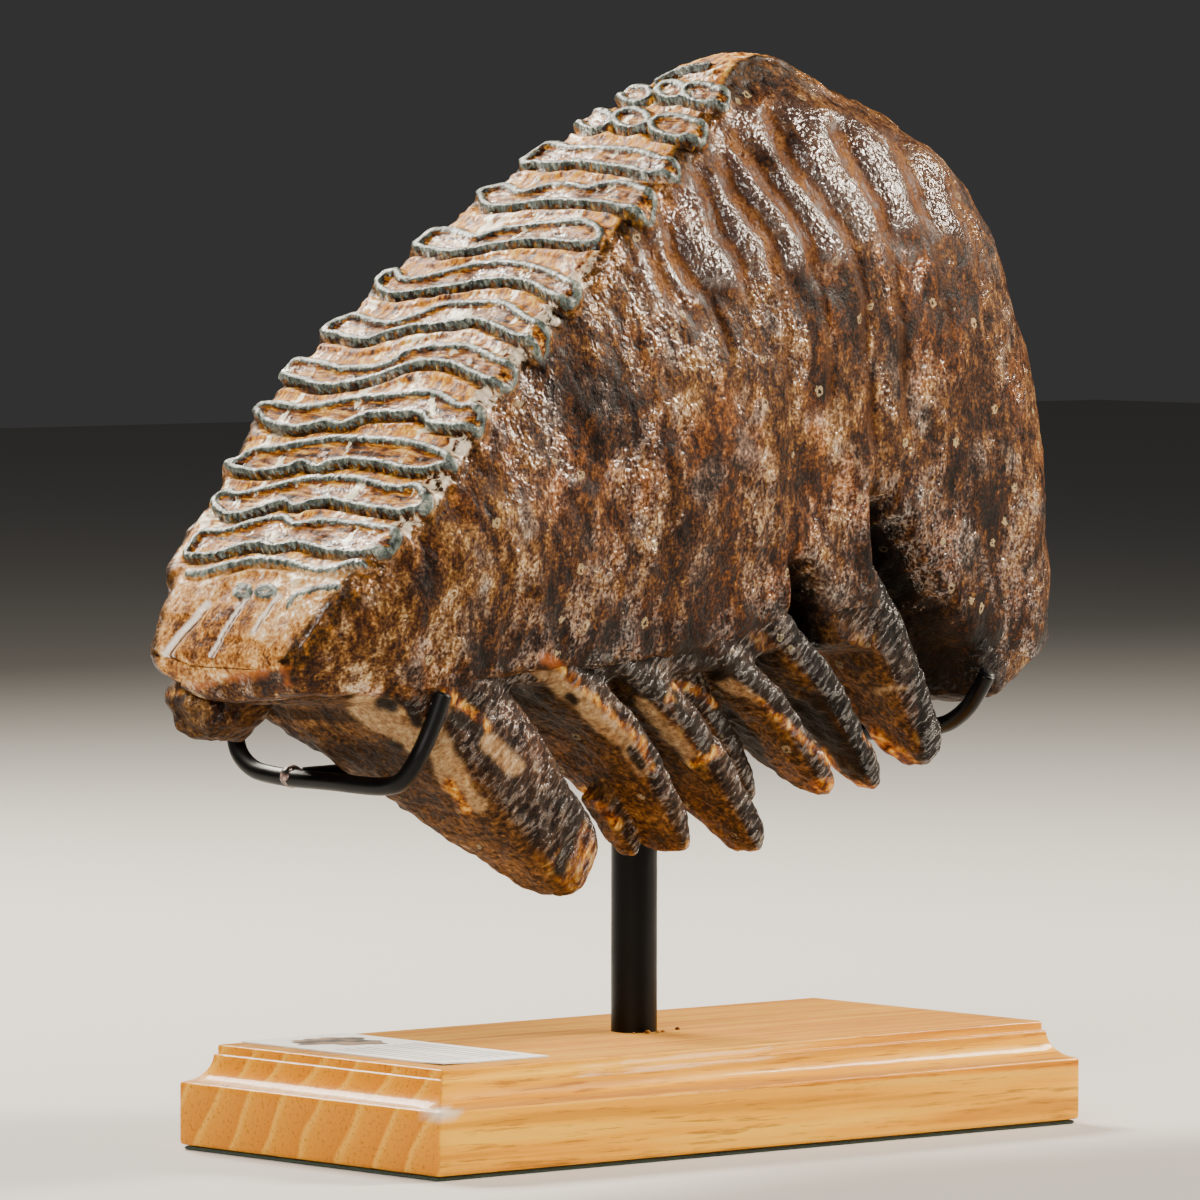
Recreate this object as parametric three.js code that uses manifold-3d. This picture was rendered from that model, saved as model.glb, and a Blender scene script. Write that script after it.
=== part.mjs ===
// A fossil mammoth molar on a display stand.
// The tooth lies roots down in a steel cradle, with its chewing surface sloping up to the right. The cradle
// is a bar with a bent wire across each end. A post carries it, let into a wooden base with a coved edge.
// Units are millimetres, +Z is up, and the origin is at the middle of the base's underside.
// +X runs along the base towards the back end of the tooth. -Y is the cheek side, with the long roots.

import * as THREE from 'three';
import { LoftGeometry } from 'three/addons/geometries/LoftGeometry.js';
import { mergeVertices } from 'three/addons/utils/BufferGeometryUtils.js';
import Module from 'manifold-3d';

// Stand
const BASE_LENGTH = 220;
const BASE_WIDTH = 103;
const BASE_TOP = 27;
const FELT_THICKNESS = 1;
const FELT_INSET = 0.6;
const GAP = 0.3;
const POST_DIAMETER = 12;
const POST_CENTRE = [2.5, 3.4];
const POST_SOCKET_DEPTH = 15;
const BAR_DIAMETER = 5;
const BAR_HEIGHTS = [97.8, 101.8];
const WIRE_DIAMETER = 4.6;
const WIRE_STEPS = 22;
const FRONT_WIRE_X = -112;
const REAR_WIRE_X = 101;
const LABEL_SIZE = [35, 80, 0.5];
const LABEL_CENTRE = [-78, 4];

// Tooth
const TOOTH_TURN = THREE.MathUtils.degToRad(5);
const WORN_PLATES = 15;
const LAST_PLATE = 18;
const ENAMEL_HEIGHT = 1.5;
const ENAMEL_WIDTH = 2.3;
const LOOP_HALF_THICKNESS = 3.3;
const RIB_HEIGHT = 1.9;

// Inset of the base's edge at each height, from foot to top: upright side, lip, cove, step and fillet.
const BASE_EDGE = [
  [0, FELT_THICKNESS + GAP],
  [0, 16.9],
  [0.3, 17.3],
  [2.2, 17.9],
  [4, 19.1],
  [5.3, 20.9],
  [6, 23.2],
  [6.2, 24.3],
  [7, 24.6],
  [7, 26.6],
  [7.4, BASE_TOP],
];

// Lines down the plates in the tooth's own frame. Each station names a plate, counted from the front of the
// tooth, and gives four points (x, z) from the chewing surface to the crown's foot, at the shares in
// LINE_KNOTS, and the half width of the tooth at each of them.
const LINE_KNOTS = [0, 0.26, 0.6, 1];
const STATIONS = [
  { plate: -1.2, line: [[-149, 129], [-149, 127], [-148, 125], [-146, 121]], half: [24, 24, 23, 20] },
  { plate: 0, line: [[-143, 140], [-138, 134], [-133, 128], [-127, 120]], half: [30, 33, 32, 29] },
  { plate: 1, line: [[-135, 151], [-130, 142], [-121, 131], [-108, 119]], half: [35, 39, 38, 35] },
  { plate: 3, line: [[-115, 168], [-108, 157], [-98, 142], [-82, 122]], half: [38.5, 44, 42, 37] },
  { plate: 6, line: [[-88, 198], [-73, 176], [-56, 150], [-35, 122]], half: [37.5, 44, 44, 38] },
  { plate: 9, line: [[-44, 231], [-32, 205], [-17, 169], [-2, 124]], half: [33, 43.5, 45, 38] },
  { plate: 12, line: [[1, 260], [9, 235], [20, 194], [31, 128]], half: [21, 37, 43, 38] },
  { plate: 14, line: [[35, 278], [45, 251], [55, 206], [61, 124]], half: [9, 32, 41, 38] },
  { plate: 16, line: [[66, 271], [89, 247], [99, 198], [101, 112]], half: [9, 27, 36, 34] },
  { plate: 17.2, line: [[91, 262], [113, 237], [126, 186], [132, 109]], half: [7, 20, 29, 30] },
  { plate: 18, line: [[103, 253], [124, 224], [137, 180], [146, 121]], half: [6, 15, 20, 22] },
];

// Roots. Each hangs from the crown's foot. The line gives (x, z) at its top, middle and tip, cheek and
// tongue its edges in y at those places, and thick its thickness.
const CHEEK_ROOTS = [
  {
    line: [[-105, 126], [-78, 99], [-46, 71]],
    cheek: [-37, -37, -31],
    tongue: [30, 2, -16],
    thick: [36, 30, 20],
  },
  {
    line: [[-72, 132], [-38, 107], [-9, 76]],
    cheek: [-38, -37, -31],
    tongue: [6, -3, -15],
    thick: [13, 12, 8],
  },
  {
    line: [[-52, 134], [-15, 108], [17, 75]],
    cheek: [-38, -37, -32],
    tongue: [0, -8, -20],
    thick: [13, 12, 9],
  },
  {
    line: [[-30, 132], [-3, 112], [22, 87]],
    cheek: [-34, -31, -24],
    tongue: [0, -6, -12],
    thick: [10, 9, 7],
  },
  {
    line: [[-17, 134], [14, 114], [43, 89]],
    cheek: [-38, -37, -32],
    tongue: [0, -7, -21],
    thick: [11, 10, 8],
  },
  {
    line: [[2, 142], [33, 119], [62, 89]],
    cheek: [-38, -37, -31],
    tongue: [0, -7, -23],
    thick: [13, 11, 8],
  },
  {
    line: [[36, 158], [60, 127], [84, 95]],
    cheek: [-38, -37, -31],
    tongue: [-2, -6, -18],
    thick: [18, 16, 12],
  },
];
const TONGUE_ROOTS = [
  {
    line: [[-70, 132], [-46, 115], [-24, 99]],
    cheek: [37, 36, 31],
    tongue: [6, 9, 14],
    thick: [13, 12, 8],
  },
  {
    line: [[-46, 132], [-22, 114], [-2, 98]],
    cheek: [37, 36, 31],
    tongue: [6, 9, 14],
    thick: [13, 12, 8],
  },
  {
    line: [[-22, 132], [1, 115], [22, 98]],
    cheek: [37, 36, 31],
    tongue: [6, 9, 14],
    thick: [12, 11, 8],
  },
  {
    line: [[2, 134], [26, 116], [46, 99]],
    cheek: [37, 36, 30],
    tongue: [6, 9, 14],
    thick: [13, 12, 9],
  },
  {
    line: [[32, 138], [54, 119], [74, 101]],
    cheek: [37, 35, 29],
    tongue: [6, 9, 14],
    thick: [17, 15, 11],
  },
];

// Hollows between the last roots: corners (x, z) at the tooth's cheek side, and how far in they reach.
const HOLLOW_FOOT = 96;
const HOLLOWS = [
  {
    corners: [[53, 163], [60, 157], [78, 139], [91, 126], [101, 117], [96, 100], [78, 100], [68, 124]],
    depth: 28,
  },
  {
    corners: [[15, 147], [21, 150], [29, 145], [36, 132], [53, 108], [44, 103], [27, 121], [18, 132]],
    depth: 24,
  },
];

const wasm = await Module();
wasm.setup();

function solidFrom(geometry) {
  const bare = new THREE.BufferGeometry().copy(geometry);
  bare.deleteAttribute('normal');
  bare.deleteAttribute('uv');
  const merged = mergeVertices(bare, 1e-4);
  return new wasm.Manifold(new wasm.Mesh({
    numProp: 3,
    vertProperties: merged.attributes.position.array,
    triVerts: new Uint32Array(merged.index.array),
  }));
}

function geometryFrom(solid) {
  const made = solid.getMesh();
  const geometry = new THREE.BufferGeometry();
  geometry.setAttribute('position', new THREE.BufferAttribute(made.vertProperties, 3));
  geometry.setIndex(new THREE.BufferAttribute(made.triVerts, 1));
  const flat = geometry.toNonIndexed();
  flat.computeVertexNormals();
  return flat;
}

// A closed body through a row of rings. The last ring may be folded flat on the tooth's middle plane.
function loft(rings, capEnd = true) {
  return solidFrom(new LoftGeometry(rings, { capStart: true, capEnd }));
}

// A value at x on the smooth curve through (xs, ys), whose slope at a knot is that between its neighbours.
function curveAt(xs, ys, x) {
  let k = 0;
  while (k < xs.length - 2 && x > xs[k + 1]) k += 1;
  const slope = (j) => {
    const a = Math.max(j - 1, 0);
    const b = Math.min(j + 1, xs.length - 1);
    return (ys[b] - ys[a]) / (xs[b] - xs[a]);
  };
  const h = xs[k + 1] - xs[k];
  const t = THREE.MathUtils.clamp((x - xs[k]) / h, 0, 1);
  const rest = (1 - t) * (1 - t);
  const rising = (1 + 2 * t) * rest * ys[k] + t * rest * h * slope(k);
  return rising + t * t * (3 - 2 * t) * ys[k + 1] + t * t * (t - 1) * h * slope(k + 1);
}

const STATION_PLATES = STATIONS.map((station) => station.plate);

// The crown's back end is rounded off over the last plates.
function endRounding(plate) {
  const past = Math.max(plate - 16.6, 0) / (LAST_PLATE - 16.6);
  return Math.sqrt(Math.max(1 - past * past, 0));
}

// The point (x, z) and the half width at a share down a plate's line, where 0 is the chewing surface.
function plateAt(plate, down) {
  const along = (pick) => {
    const knots = LINE_KNOTS.map((_, k) => curveAt(STATION_PLATES, STATIONS.map((s) => pick(s, k)), plate));
    return curveAt(LINE_KNOTS, knots, down);
  };
  const x = along((s, k) => s.line[k][0]);
  const z = along((s, k) => s.line[k][1]);
  const half = along((s, k) => s.half[k]) * endRounding(plate);
  return { x, z, half };
}

// How far the worn surface stands out at a place: enamel rims round a long flat loop on each plate.
function enamelHeight(plate, across, half) {
  const nearest = Math.round(plate);
  if (nearest < 1 || nearest >= WORN_PLATES) return 0;
  const before = plateAt(nearest - 0.5, 0);
  const after = plateAt(nearest + 0.5, 0);
  const pitch = Math.hypot(after.x - before.x, after.z - before.z);
  const off = (plate - nearest) * pitch;
  const past = Math.max(Math.abs(across) - (half - 3 - LOOP_HALF_THICKNESS), 0);
  const fromRim = Math.abs(Math.hypot(off, past) - LOOP_HALF_THICKNESS);
  return ENAMEL_HEIGHT * Math.max(0, 1.4 - fromRim / ENAMEL_WIDTH);
}

// The plates swing from side to side across the chewing surface, in shares of a plate.
function swing(plate, t) {
  const strong = 0.55 + 0.45 * Math.sin(plate / 3);
  return -0.22 * Math.sin(2.7 * t + 0.25) * (1 - t ** 4) * strong;
}

// Ribs on the sides, one to a plate, strongest at the top of the back plates.
function ribAt(plate, down) {
  const smooth = THREE.MathUtils.smoothstep;
  const strong = smooth(plate, 7, 12) * (1 - smooth(down, 0.3, 0.75));
  const fade = smooth(down, 0, 0.06) * (1 - smooth(plate, 16.8, 17.6));
  return RIB_HEIGHT * (0.22 + 0.78 * strong) * fade * Math.cos(2 * Math.PI * plate);
}

const ACROSS = [1, 0.93, 0.82, 0.53, 0.18, -0.18, -0.53, -0.82, -0.93, -1];
const DOWN = [0.04, 0.14, 0.3, 0.5, 0.75, 1];

// One ring of the crown at a plate: up the tongue side, over the top, down the cheek side and back below.
function crownRing(plate) {
  const side = (down, sign) => {
    const p = plateAt(plate, down);
    return new THREE.Vector3(p.x, sign * (p.half + ribAt(plate, down)), p.z);
  };
  const edge = plateAt(plate, 0);
  const top = ACROSS.map((t) => {
    const p = plateAt(plate + swing(plate, t) * endRounding(plate), 0);
    const rise = enamelHeight(plate, t * edge.half, edge.half) + 1.5 * (1 - t ** 4);
    return new THREE.Vector3(p.x - 0.66 * rise, t * edge.half * 0.985, p.z + 0.75 * rise);
  });
  const foot = plateAt(plate, 1);
  const below = [-0.6, 0, 0.6].map((t) => new THREE.Vector3(foot.x, t * foot.half, foot.z - 2));
  const rising = [...DOWN].reverse().map((down) => side(down, 1));
  const falling = DOWN.map((down) => side(down, -1));
  return [...rising, ...top, ...falling, ...below];
}

// The plates at which rings are taken: six to a worn plate, four to an unworn one.
function crownPlates() {
  const places = [-1.2, -0.85];
  for (let k = 0; k < WORN_PLATES; k += 1) {
    for (const part of [-0.5, -0.34, -0.23, 0, 0.23, 0.34]) places.push(k + part);
  }
  for (let plate = WORN_PLATES - 0.5; plate < 17.6; plate += 0.25) places.push(plate);
  places.push(17.75, 17.9, 17.97, LAST_PLATE);
  return places;
}

function crown() {
  return loft(crownPlates().map(crownRing), false);
}

// A root: flattened rings along its line, rounded off at the tip.
function root({ line, cheek, tongue, thick }) {
  const knots = [0, 0.5, 1];
  const pointAt = (s) => new THREE.Vector2(
    curveAt(knots, line.map((p) => p[0]), s),
    curveAt(knots, line.map((p) => p[1]), s),
  );
  const rings = [0, 0.25, 0.5, 0.7, 0.86, 0.95, 1].map((s) => {
    const centre = pointAt(s);
    const ahead = pointAt(Math.min(s + 0.02, 1)).sub(pointAt(Math.min(s + 0.02, 1) - 0.04)).normalize();
    const closing = s > 0.8 ? 0.35 + 0.65 * Math.sqrt(1 - ((s - 0.8) / 0.2) ** 2) : 1;
    const outer = curveAt(knots, cheek, s);
    const inner = curveAt(knots, tongue, s);
    const middle = (outer + inner) / 2;
    const halfWide = (Math.abs(inner - outer) / 2) * (0.25 + 0.75 * closing);
    const halfThick = (curveAt(knots, thick, s) / 2) * closing;
    const ring = [];
    for (let k = 0; k < 10; k += 1) {
      const angle = ((k + 0.5) / 10) * 2 * Math.PI;
      const a = Math.sign(Math.cos(angle)) * Math.abs(Math.cos(angle)) ** 0.4 * halfWide;
      const b = Math.sign(Math.sin(angle)) * Math.abs(Math.sin(angle)) ** 0.5 * halfThick;
      ring.push(new THREE.Vector3(centre.x - ahead.y * b, middle + a, centre.y + ahead.x * b));
    }
    return ring;
  });
  return loft(rings);
}

// A broken lump of cement below the front of the chewing surface, on the tongue side.
function frontLump() {
  const lump = new THREE.SphereGeometry(1, 12, 8);
  lump.scale(13, 14, 11);
  lump.rotateY(0.3);
  lump.translate(-133, 17, 117);
  return solidFrom(lump);
}

// A hollow: its outline at the tooth's cheek side, drawn in towards its inner end and open below.
function hollow({ corners, depth }) {
  const centreX = corners.reduce((sum, corner) => sum + corner[0], 0) / corners.length;
  const mouth = -36;
  const levels = [[mouth - 14, 1], [mouth, 1], [mouth + depth * 0.6, 0.85], [mouth + depth, 0.5]];
  const ringAt = (y, size) => corners.map(([x, z]) => new THREE.Vector3(
    centreX + (x - centreX) * size,
    y,
    HOLLOW_FOOT + (z - HOLLOW_FOOT) * size,
  ));
  return loft(levels.map(([y, size]) => ringAt(y, size)));
}

// A round rod along a path.
function rod(path, diameter, steps) {
  const circle = new THREE.Shape();
  circle.absarc(0, 0, diameter / 2, 0, 2 * Math.PI);
  return new THREE.ExtrudeGeometry(circle, {
    steps,
    bevelEnabled: false,
    extrudePath: path,
    curveSegments: 5,
  });
}

const vectors = (points) => points.map((p) => new THREE.Vector3(...p));

// Each cradle wire is a half loop across the tooth's underside, open at the top.
const FRONT_WIRE = new THREE.CatmullRomCurve3(vectors([
  [-104.2, -46.5, 121.2], [-107.2, -45, 112], [-110.4, -43, 104], [-111.8, -39.5, 99.2],
  [FRONT_WIRE_X, -34, 97.6], [FRONT_WIRE_X, -12, 97.6], [FRONT_WIRE_X, 10, 98], [FRONT_WIRE_X, 19, 99.4],
  [-111.5, 25, 103], [-110, 29, 109], [-108.5, 32, 115],
]), false, 'centripetal');
const REAR_WIRE = new THREE.CatmullRomCurve3(vectors([
  [102, -24.5, 118], [102, -21, 113], [102, -16.5, 108], [101.5, -9, 103.5], [REAR_WIRE_X, 3, 102],
  [REAR_WIRE_X, 14, 103.5], [101.5, 22, 108], [102, 27, 113], [102, 30, 118],
]), false, 'centripetal');

// The bar runs between the bottoms of the two wires, over the post.
function bar(extra) {
  const clear = WIRE_DIAMETER / 2 + GAP - extra;
  const path = new THREE.LineCurve3(
    new THREE.Vector3(FRONT_WIRE_X + clear, POST_CENTRE[1], BAR_HEIGHTS[0]),
    new THREE.Vector3(REAR_WIRE_X - clear, POST_CENTRE[1], BAR_HEIGHTS[1]),
  );
  return rod(path, BAR_DIAMETER + 2 * extra, 1);
}

function post(extra) {
  const foot = BASE_TOP - POST_SOCKET_DEPTH;
  const head = (BAR_HEIGHTS[0] + BAR_HEIGHTS[1]) / 2;
  const radius = POST_DIAMETER / 2 + extra;
  const cylinder = new THREE.CylinderGeometry(radius, radius, head - foot, 40);
  cylinder.rotateX(Math.PI / 2);
  cylinder.translate(POST_CENTRE[0], POST_CENTRE[1], (head + foot) / 2);
  return cylinder;
}

function woodBase() {
  const rings = BASE_EDGE.map(([inset, z]) => {
    const x = BASE_LENGTH / 2 - inset;
    const y = BASE_WIDTH / 2 - inset;
    return vectors([[-x, -y, z], [x, -y, z], [x, y, z], [-x, y, z]]);
  });
  return loft(rings).subtract(solidFrom(post(GAP)));
}

const steel = new THREE.MeshStandardMaterial({ color: 0x17181a, roughness: 0.45, metalness: 1 });
const part = new THREE.Group();

function addPiece(name, geometry, material, parent = part) {
  const mesh = new THREE.Mesh(geometry, material);
  mesh.name = name;
  parent.add(mesh);
}

// Things given in the stand's frame are turned back into the tooth's frame before they are cut from it.
function inToothFrame(geometry) {
  geometry.rotateZ(-TOOTH_TURN);
  return solidFrom(geometry);
}

function molar() {
  let solid = crown().add(frontLump());
  for (const each of [...CHEEK_ROOTS, ...TONGUE_ROOTS]) solid = solid.add(root(each));
  for (const each of HOLLOWS) solid = solid.subtract(hollow(each));
  solid = solid.subtract(inToothFrame(rod(FRONT_WIRE, WIRE_DIAMETER + 2 * GAP, WIRE_STEPS)));
  solid = solid.subtract(inToothFrame(rod(REAR_WIRE, WIRE_DIAMETER + 2 * GAP, WIRE_STEPS)));
  solid = solid.subtract(inToothFrame(bar(GAP)));
  return solid.subtract(inToothFrame(post(GAP)));
}

const tooth = new THREE.Group();
tooth.rotation.z = TOOTH_TURN;
part.add(tooth);
addPiece('molar', geometryFrom(molar()), new THREE.MeshStandardMaterial({
  color: 0x6b4526,
  roughness: 0.35,
  metalness: 0,
}), tooth);

addPiece('front_cradle_wire', rod(FRONT_WIRE, WIRE_DIAMETER, WIRE_STEPS), steel);
addPiece('rear_cradle_wire', rod(REAR_WIRE, WIRE_DIAMETER, WIRE_STEPS), steel);
addPiece('cradle_bar', geometryFrom(solidFrom(bar(0)).subtract(solidFrom(post(GAP)))), steel);
addPiece('post', post(0), steel);
addPiece('wood_base', geometryFrom(woodBase()), new THREE.MeshStandardMaterial({
  color: 0xc98a3c,
  roughness: 0.3,
  metalness: 0,
}));

const felt = new THREE.BoxGeometry(
  BASE_LENGTH - 2 * FELT_INSET,
  BASE_WIDTH - 2 * FELT_INSET,
  FELT_THICKNESS,
);
felt.translate(0, 0, FELT_THICKNESS / 2);
addPiece('felt_pad', felt, new THREE.MeshStandardMaterial({
  color: 0x1e3b2c,
  roughness: 1,
  metalness: 0,
}));

const card = new THREE.BoxGeometry(...LABEL_SIZE);
card.translate(...LABEL_CENTRE, BASE_TOP + GAP + LABEL_SIZE[2] / 2);
addPiece('label_card', card, new THREE.MeshStandardMaterial({
  color: 0xf4f4f2,
  roughness: 0.8,
  metalness: 0,
}));

export default part;
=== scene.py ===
"""Looks of a mounted mammoth molar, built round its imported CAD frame.

Sizes are millimetres in the classes below and metres in Blender. The tooth's own frame is the stand's frame
turned five degrees about the vertical, as in the CAD part. Plates are counted from the front of the tooth.
"""
import logging
import math
from collections.abc import Callable
from dataclasses import dataclass
from enum import Enum
from functools import partial
from itertools import product

import bmesh
import bpy
import numpy as np
from mathutils import Matrix


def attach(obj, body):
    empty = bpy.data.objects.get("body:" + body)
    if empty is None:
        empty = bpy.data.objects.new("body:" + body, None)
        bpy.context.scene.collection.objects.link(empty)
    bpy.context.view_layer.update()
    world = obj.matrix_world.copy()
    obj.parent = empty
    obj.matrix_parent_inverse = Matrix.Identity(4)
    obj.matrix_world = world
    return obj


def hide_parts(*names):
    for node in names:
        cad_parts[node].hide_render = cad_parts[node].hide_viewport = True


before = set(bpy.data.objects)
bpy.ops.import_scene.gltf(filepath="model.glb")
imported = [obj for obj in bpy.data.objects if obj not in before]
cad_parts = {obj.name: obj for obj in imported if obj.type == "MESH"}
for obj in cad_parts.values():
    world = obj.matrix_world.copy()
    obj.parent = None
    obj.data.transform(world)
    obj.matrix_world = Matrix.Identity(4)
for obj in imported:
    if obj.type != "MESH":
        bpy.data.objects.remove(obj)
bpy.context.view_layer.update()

LOG = logging.getLogger("molar")
MM = 0.001
Material = bpy.types.Material
Points = np.ndarray
Solid = tuple[Points, list]
Line = tuple[tuple[float, float], ...]
Triple = tuple[float, float, float]
Stops = tuple[tuple[float, str], ...]
Feed = bpy.types.Node | bpy.types.NodeSocket
Adder = Callable[..., bpy.types.Node]


# numbers

def smooth_curve(knots: list[float], values: Points, at: Points) -> Points:
    """The smooth curve through values at knots, whose slope at a knot is that between its neighbours.

    Args:
        knots: Rising places, one for each row of values.
        values: Rows of numbers, of any shape after the first axis.
        at: Places to read, on one axis.

    Returns:
        One row for each place.
    """
    knots, values, at = np.asarray(knots, float), np.asarray(values, float), np.asarray(at, float)
    count = len(knots)
    k = np.clip(np.searchsorted(knots, at, side="left") - 1, 0, count - 2)
    before = np.maximum(np.arange(count) - 1, 0)
    after = np.minimum(np.arange(count) + 1, count - 1)
    wide = (slice(None),) + (None,) * (values.ndim - 1)
    slopes = (values[after] - values[before]) / (knots[after] - knots[before])[wide]
    h = (knots[k + 1] - knots[k])[wide]
    t = np.clip((at - knots[k]) / (knots[k + 1] - knots[k]), 0, 1)[wide]
    rest = (1 - t) ** 2
    rising = (1 + 2 * t) * rest * values[k] + t * rest * h * slopes[k]
    return rising + t * t * (3 - 2 * t) * values[k + 1] + t * t * (t - 1) * h * slopes[k + 1]


def smooth_step(x: Points, low: float, high: float) -> Points:
    """A smooth rise from 0 at low to 1 at high; it falls where high is the lower."""
    t = np.clip((np.asarray(x, float) - low) / (high - low), 0, 1)
    return t * t * (3 - 2 * t)


def lattice(cell: Points, seed: int) -> Points:
    """Fixed random numbers, the same in each run.

    Args:
        cell: Whole cells (..., 3).
        seed: Number that picks the pattern.

    Returns:
        One number from 0 to 1 for each cell.
    """
    word = 0xFFFFFFFF
    n = cell[..., 0] * 374761393 + cell[..., 1] * 668265263 + cell[..., 2] * 1440662683 + seed * 1274126177
    n = n & word
    n = ((n ^ (n >> 13)) * 1103515245) & word
    n = ((n ^ (n >> 15)) * 668265263) & word
    return ((n ^ (n >> 16)) & 0xFFFF) / 0xFFFF


def noise(points: Points, size: float, seed: int, octaves: int = 3) -> Points:
    """Soft noise from about -1 to 1.

    Args:
        points: Places (..., 3) in millimetres.
        size: Size of the largest lumps in millimetres.
        seed: Number that picks the pattern.
        octaves: How many finer layers are added.

    Returns:
        One number for each place.
    """
    total = np.zeros(points.shape[:-1])
    for octave in range(octaves):
        q = points * (2 ** octave / size)
        cell = np.floor(q).astype(np.int64)
        f = q - cell
        f = f * f * (3 - 2 * f)
        value = np.zeros_like(total)
        for corner in product((0, 1), repeat=3):
            w = np.ones_like(total)
            for axis, far in enumerate(corner):
                w = w * (f[..., axis] if far else 1 - f[..., axis])
            value += w * lattice(cell + np.array(corner), seed + 17 * octave)
        total += (value * 2 - 1) * 0.5 ** octave
    return total


def turned(points: Points, degrees: float) -> Points:
    """Turns points about the vertical.

    Args:
        points: Places or directions (..., 3).
        degrees: How far, anticlockwise from above.

    Returns:
        The turned points.
    """
    cos, sin = math.cos(math.radians(degrees)), math.sin(math.radians(degrees))
    x, y = points[..., 0], points[..., 1]
    return np.stack([x * cos - y * sin, x * sin + y * cos, points[..., 2]], -1)


# meshes

def make_piece(name: str, points: Points, faces: list, material: Material,
               stands_for: tuple[str, ...] = (), attributes: dict[str, Points] | None = None,
               smooth: bool = True) -> bpy.types.Object:
    """Makes a mesh object that rides on the stand.

    Args:
        name: The piece's name.
        points: Vertices (n, 3) in millimetres, in the stand's frame.
        faces: Rows of vertex numbers.
        material: Its finish.
        stands_for: CAD nodes that it replaces.
        attributes: Numbers for the finish, one for each vertex.
        smooth: Whether faces are shaded smooth.

    Returns:
        The object.
    """
    mesh = bpy.data.meshes.new(name)
    mesh.from_pydata((np.asarray(points, float) * MM).tolist(), [], faces)
    for key, values in (attributes or {}).items():
        layer = mesh.attributes.new(key, "FLOAT", "POINT")
        layer.data.foreach_set("value", np.asarray(values, np.float32).ravel())
    mesh.polygons.foreach_set("use_smooth", [smooth] * len(mesh.polygons))
    mesh.materials.append(material)
    mesh.update()
    piece = bpy.data.objects.new(name, mesh)
    bpy.context.scene.collection.objects.link(piece)
    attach(piece, "root")
    if stands_for:
        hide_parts(*stands_for)
    LOG.info("%s: %d faces", name, len(mesh.polygons))
    return piece


def grid_faces(rows: int, columns: int, closed: bool = True, start: int = 0) -> list[tuple[int, ...]]:
    """Quads of a grid of vertices whose rows follow one another.

    Args:
        rows: How many rows it has.
        columns: How many vertices a row has.
        closed: Whether the last column joins the first.
        start: Number of the first vertex.

    Returns:
        Four vertex numbers for each face.
    """
    r, c = np.meshgrid(np.arange(rows - 1), np.arange(columns if closed else columns - 1), indexing="ij")
    a = r * columns + c
    b = r * columns + (c + 1) % columns
    return (np.stack([a, b, b + columns, a + columns], -1).reshape(-1, 4) + start).tolist()


def tube_faces(rows: int, columns: int) -> list[tuple[int, ...]]:
    """Faces of a tube of rings that follow one another, with a face over each end."""
    last = (rows - 1) * columns
    return grid_faces(rows, columns) + [tuple(range(columns))[::-1], tuple(range(last, last + columns))]


def catmull_rom(points: list[Triple], steps: int) -> Points:
    """The centripetal Catmull-Rom curve through points.

    Args:
        points: The points that it goes through.
        steps: How many steps lie between two of them.

    Returns:
        Points (n, 3) on the curve.
    """
    p = np.asarray(points, float)
    p = np.vstack([2 * p[0] - p[1], p, 2 * p[-1] - p[-2]])
    out = []
    for k in range(1, len(p) - 2):
        q = p[k - 1:k + 3]
        t = np.concatenate([[0], np.cumsum(np.linalg.norm(np.diff(q, axis=0), axis=1) ** 0.5)])
        at = np.linspace(t[1], t[2], steps, endpoint=False)[:, None]
        low = [((t[j + 1] - at) * q[j] + (at - t[j]) * q[j + 1]) / (t[j + 1] - t[j]) for j in range(3)]
        mid = [((t[j + 2] - at) * low[j] + (at - t[j]) * low[j + 1]) / (t[j + 2] - t[j]) for j in range(2)]
        out.append(((t[2] - at) * mid[0] + (at - t[1]) * mid[1]) / (t[2] - t[1]))
    return np.vstack(out + [p[-2][None]])


def rod(path: Points, diameter: float, sides: int = 32) -> Solid:
    """A round rod along a path, with edges rounded at both ends.

    Args:
        path: Points (n, 3) of its middle line.
        diameter: Its diameter.
        sides: How many faces go round it.

    Returns:
        Vertices and faces of the closed rod.
    """
    tangent = np.gradient(path, axis=0)
    tangent /= np.linalg.norm(tangent, axis=1, keepdims=True)
    across = np.zeros_like(path)
    across[0] = np.cross(tangent[0], (0.3, 0.1, 1.0))
    for k in range(1, len(path)):
        across[k] = across[k - 1] - (across[k - 1] @ tangent[k]) * tangent[k]
    across /= np.linalg.norm(across, axis=1, keepdims=True)
    over = np.cross(tangent, across)
    turns = np.arange(sides) * 2 * math.pi / sides
    circle = np.cos(turns)[:, None] * across[:, None] + np.sin(turns)[:, None] * over[:, None]
    rows = path[:, None] + circle * diameter / 2
    bevel = 0.18 * diameter
    # how far in each ring of the rounded edge lies, in bevels, and its share of the radius
    shrink = [(0.0, 0.55), (0.35, 0.85)]
    first = [path[0] + (rows[0] - path[0]) * s + tangent[0] * bevel * z for z, s in shrink]
    last = [path[-1] + (rows[-1] - path[-1]) * s - tangent[-1] * bevel * z for z, s in reversed(shrink)]
    rows[0] += tangent[0] * bevel
    rows[-1] -= tangent[-1] * bevel
    rows = np.concatenate([np.array(first), rows, np.array(last)])
    return rows.reshape(-1, 3), tube_faces(len(rows), sides)


# finishes

def colour(code: str) -> tuple[float, float, float, float]:
    """Linear colour, with alpha, from an sRGB hex code."""
    channels = [int(code[k:k + 2], 16) / 255 for k in (1, 3, 5)]
    return tuple(c / 12.92 if c <= 0.04045 else ((c + 0.055) / 1.055) ** 2.4 for c in channels) + (1.0,)


def per(size: float) -> float:
    """Scale of a texture whose pattern has that size in millimetres."""
    return 1 / (size * MM)


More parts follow.
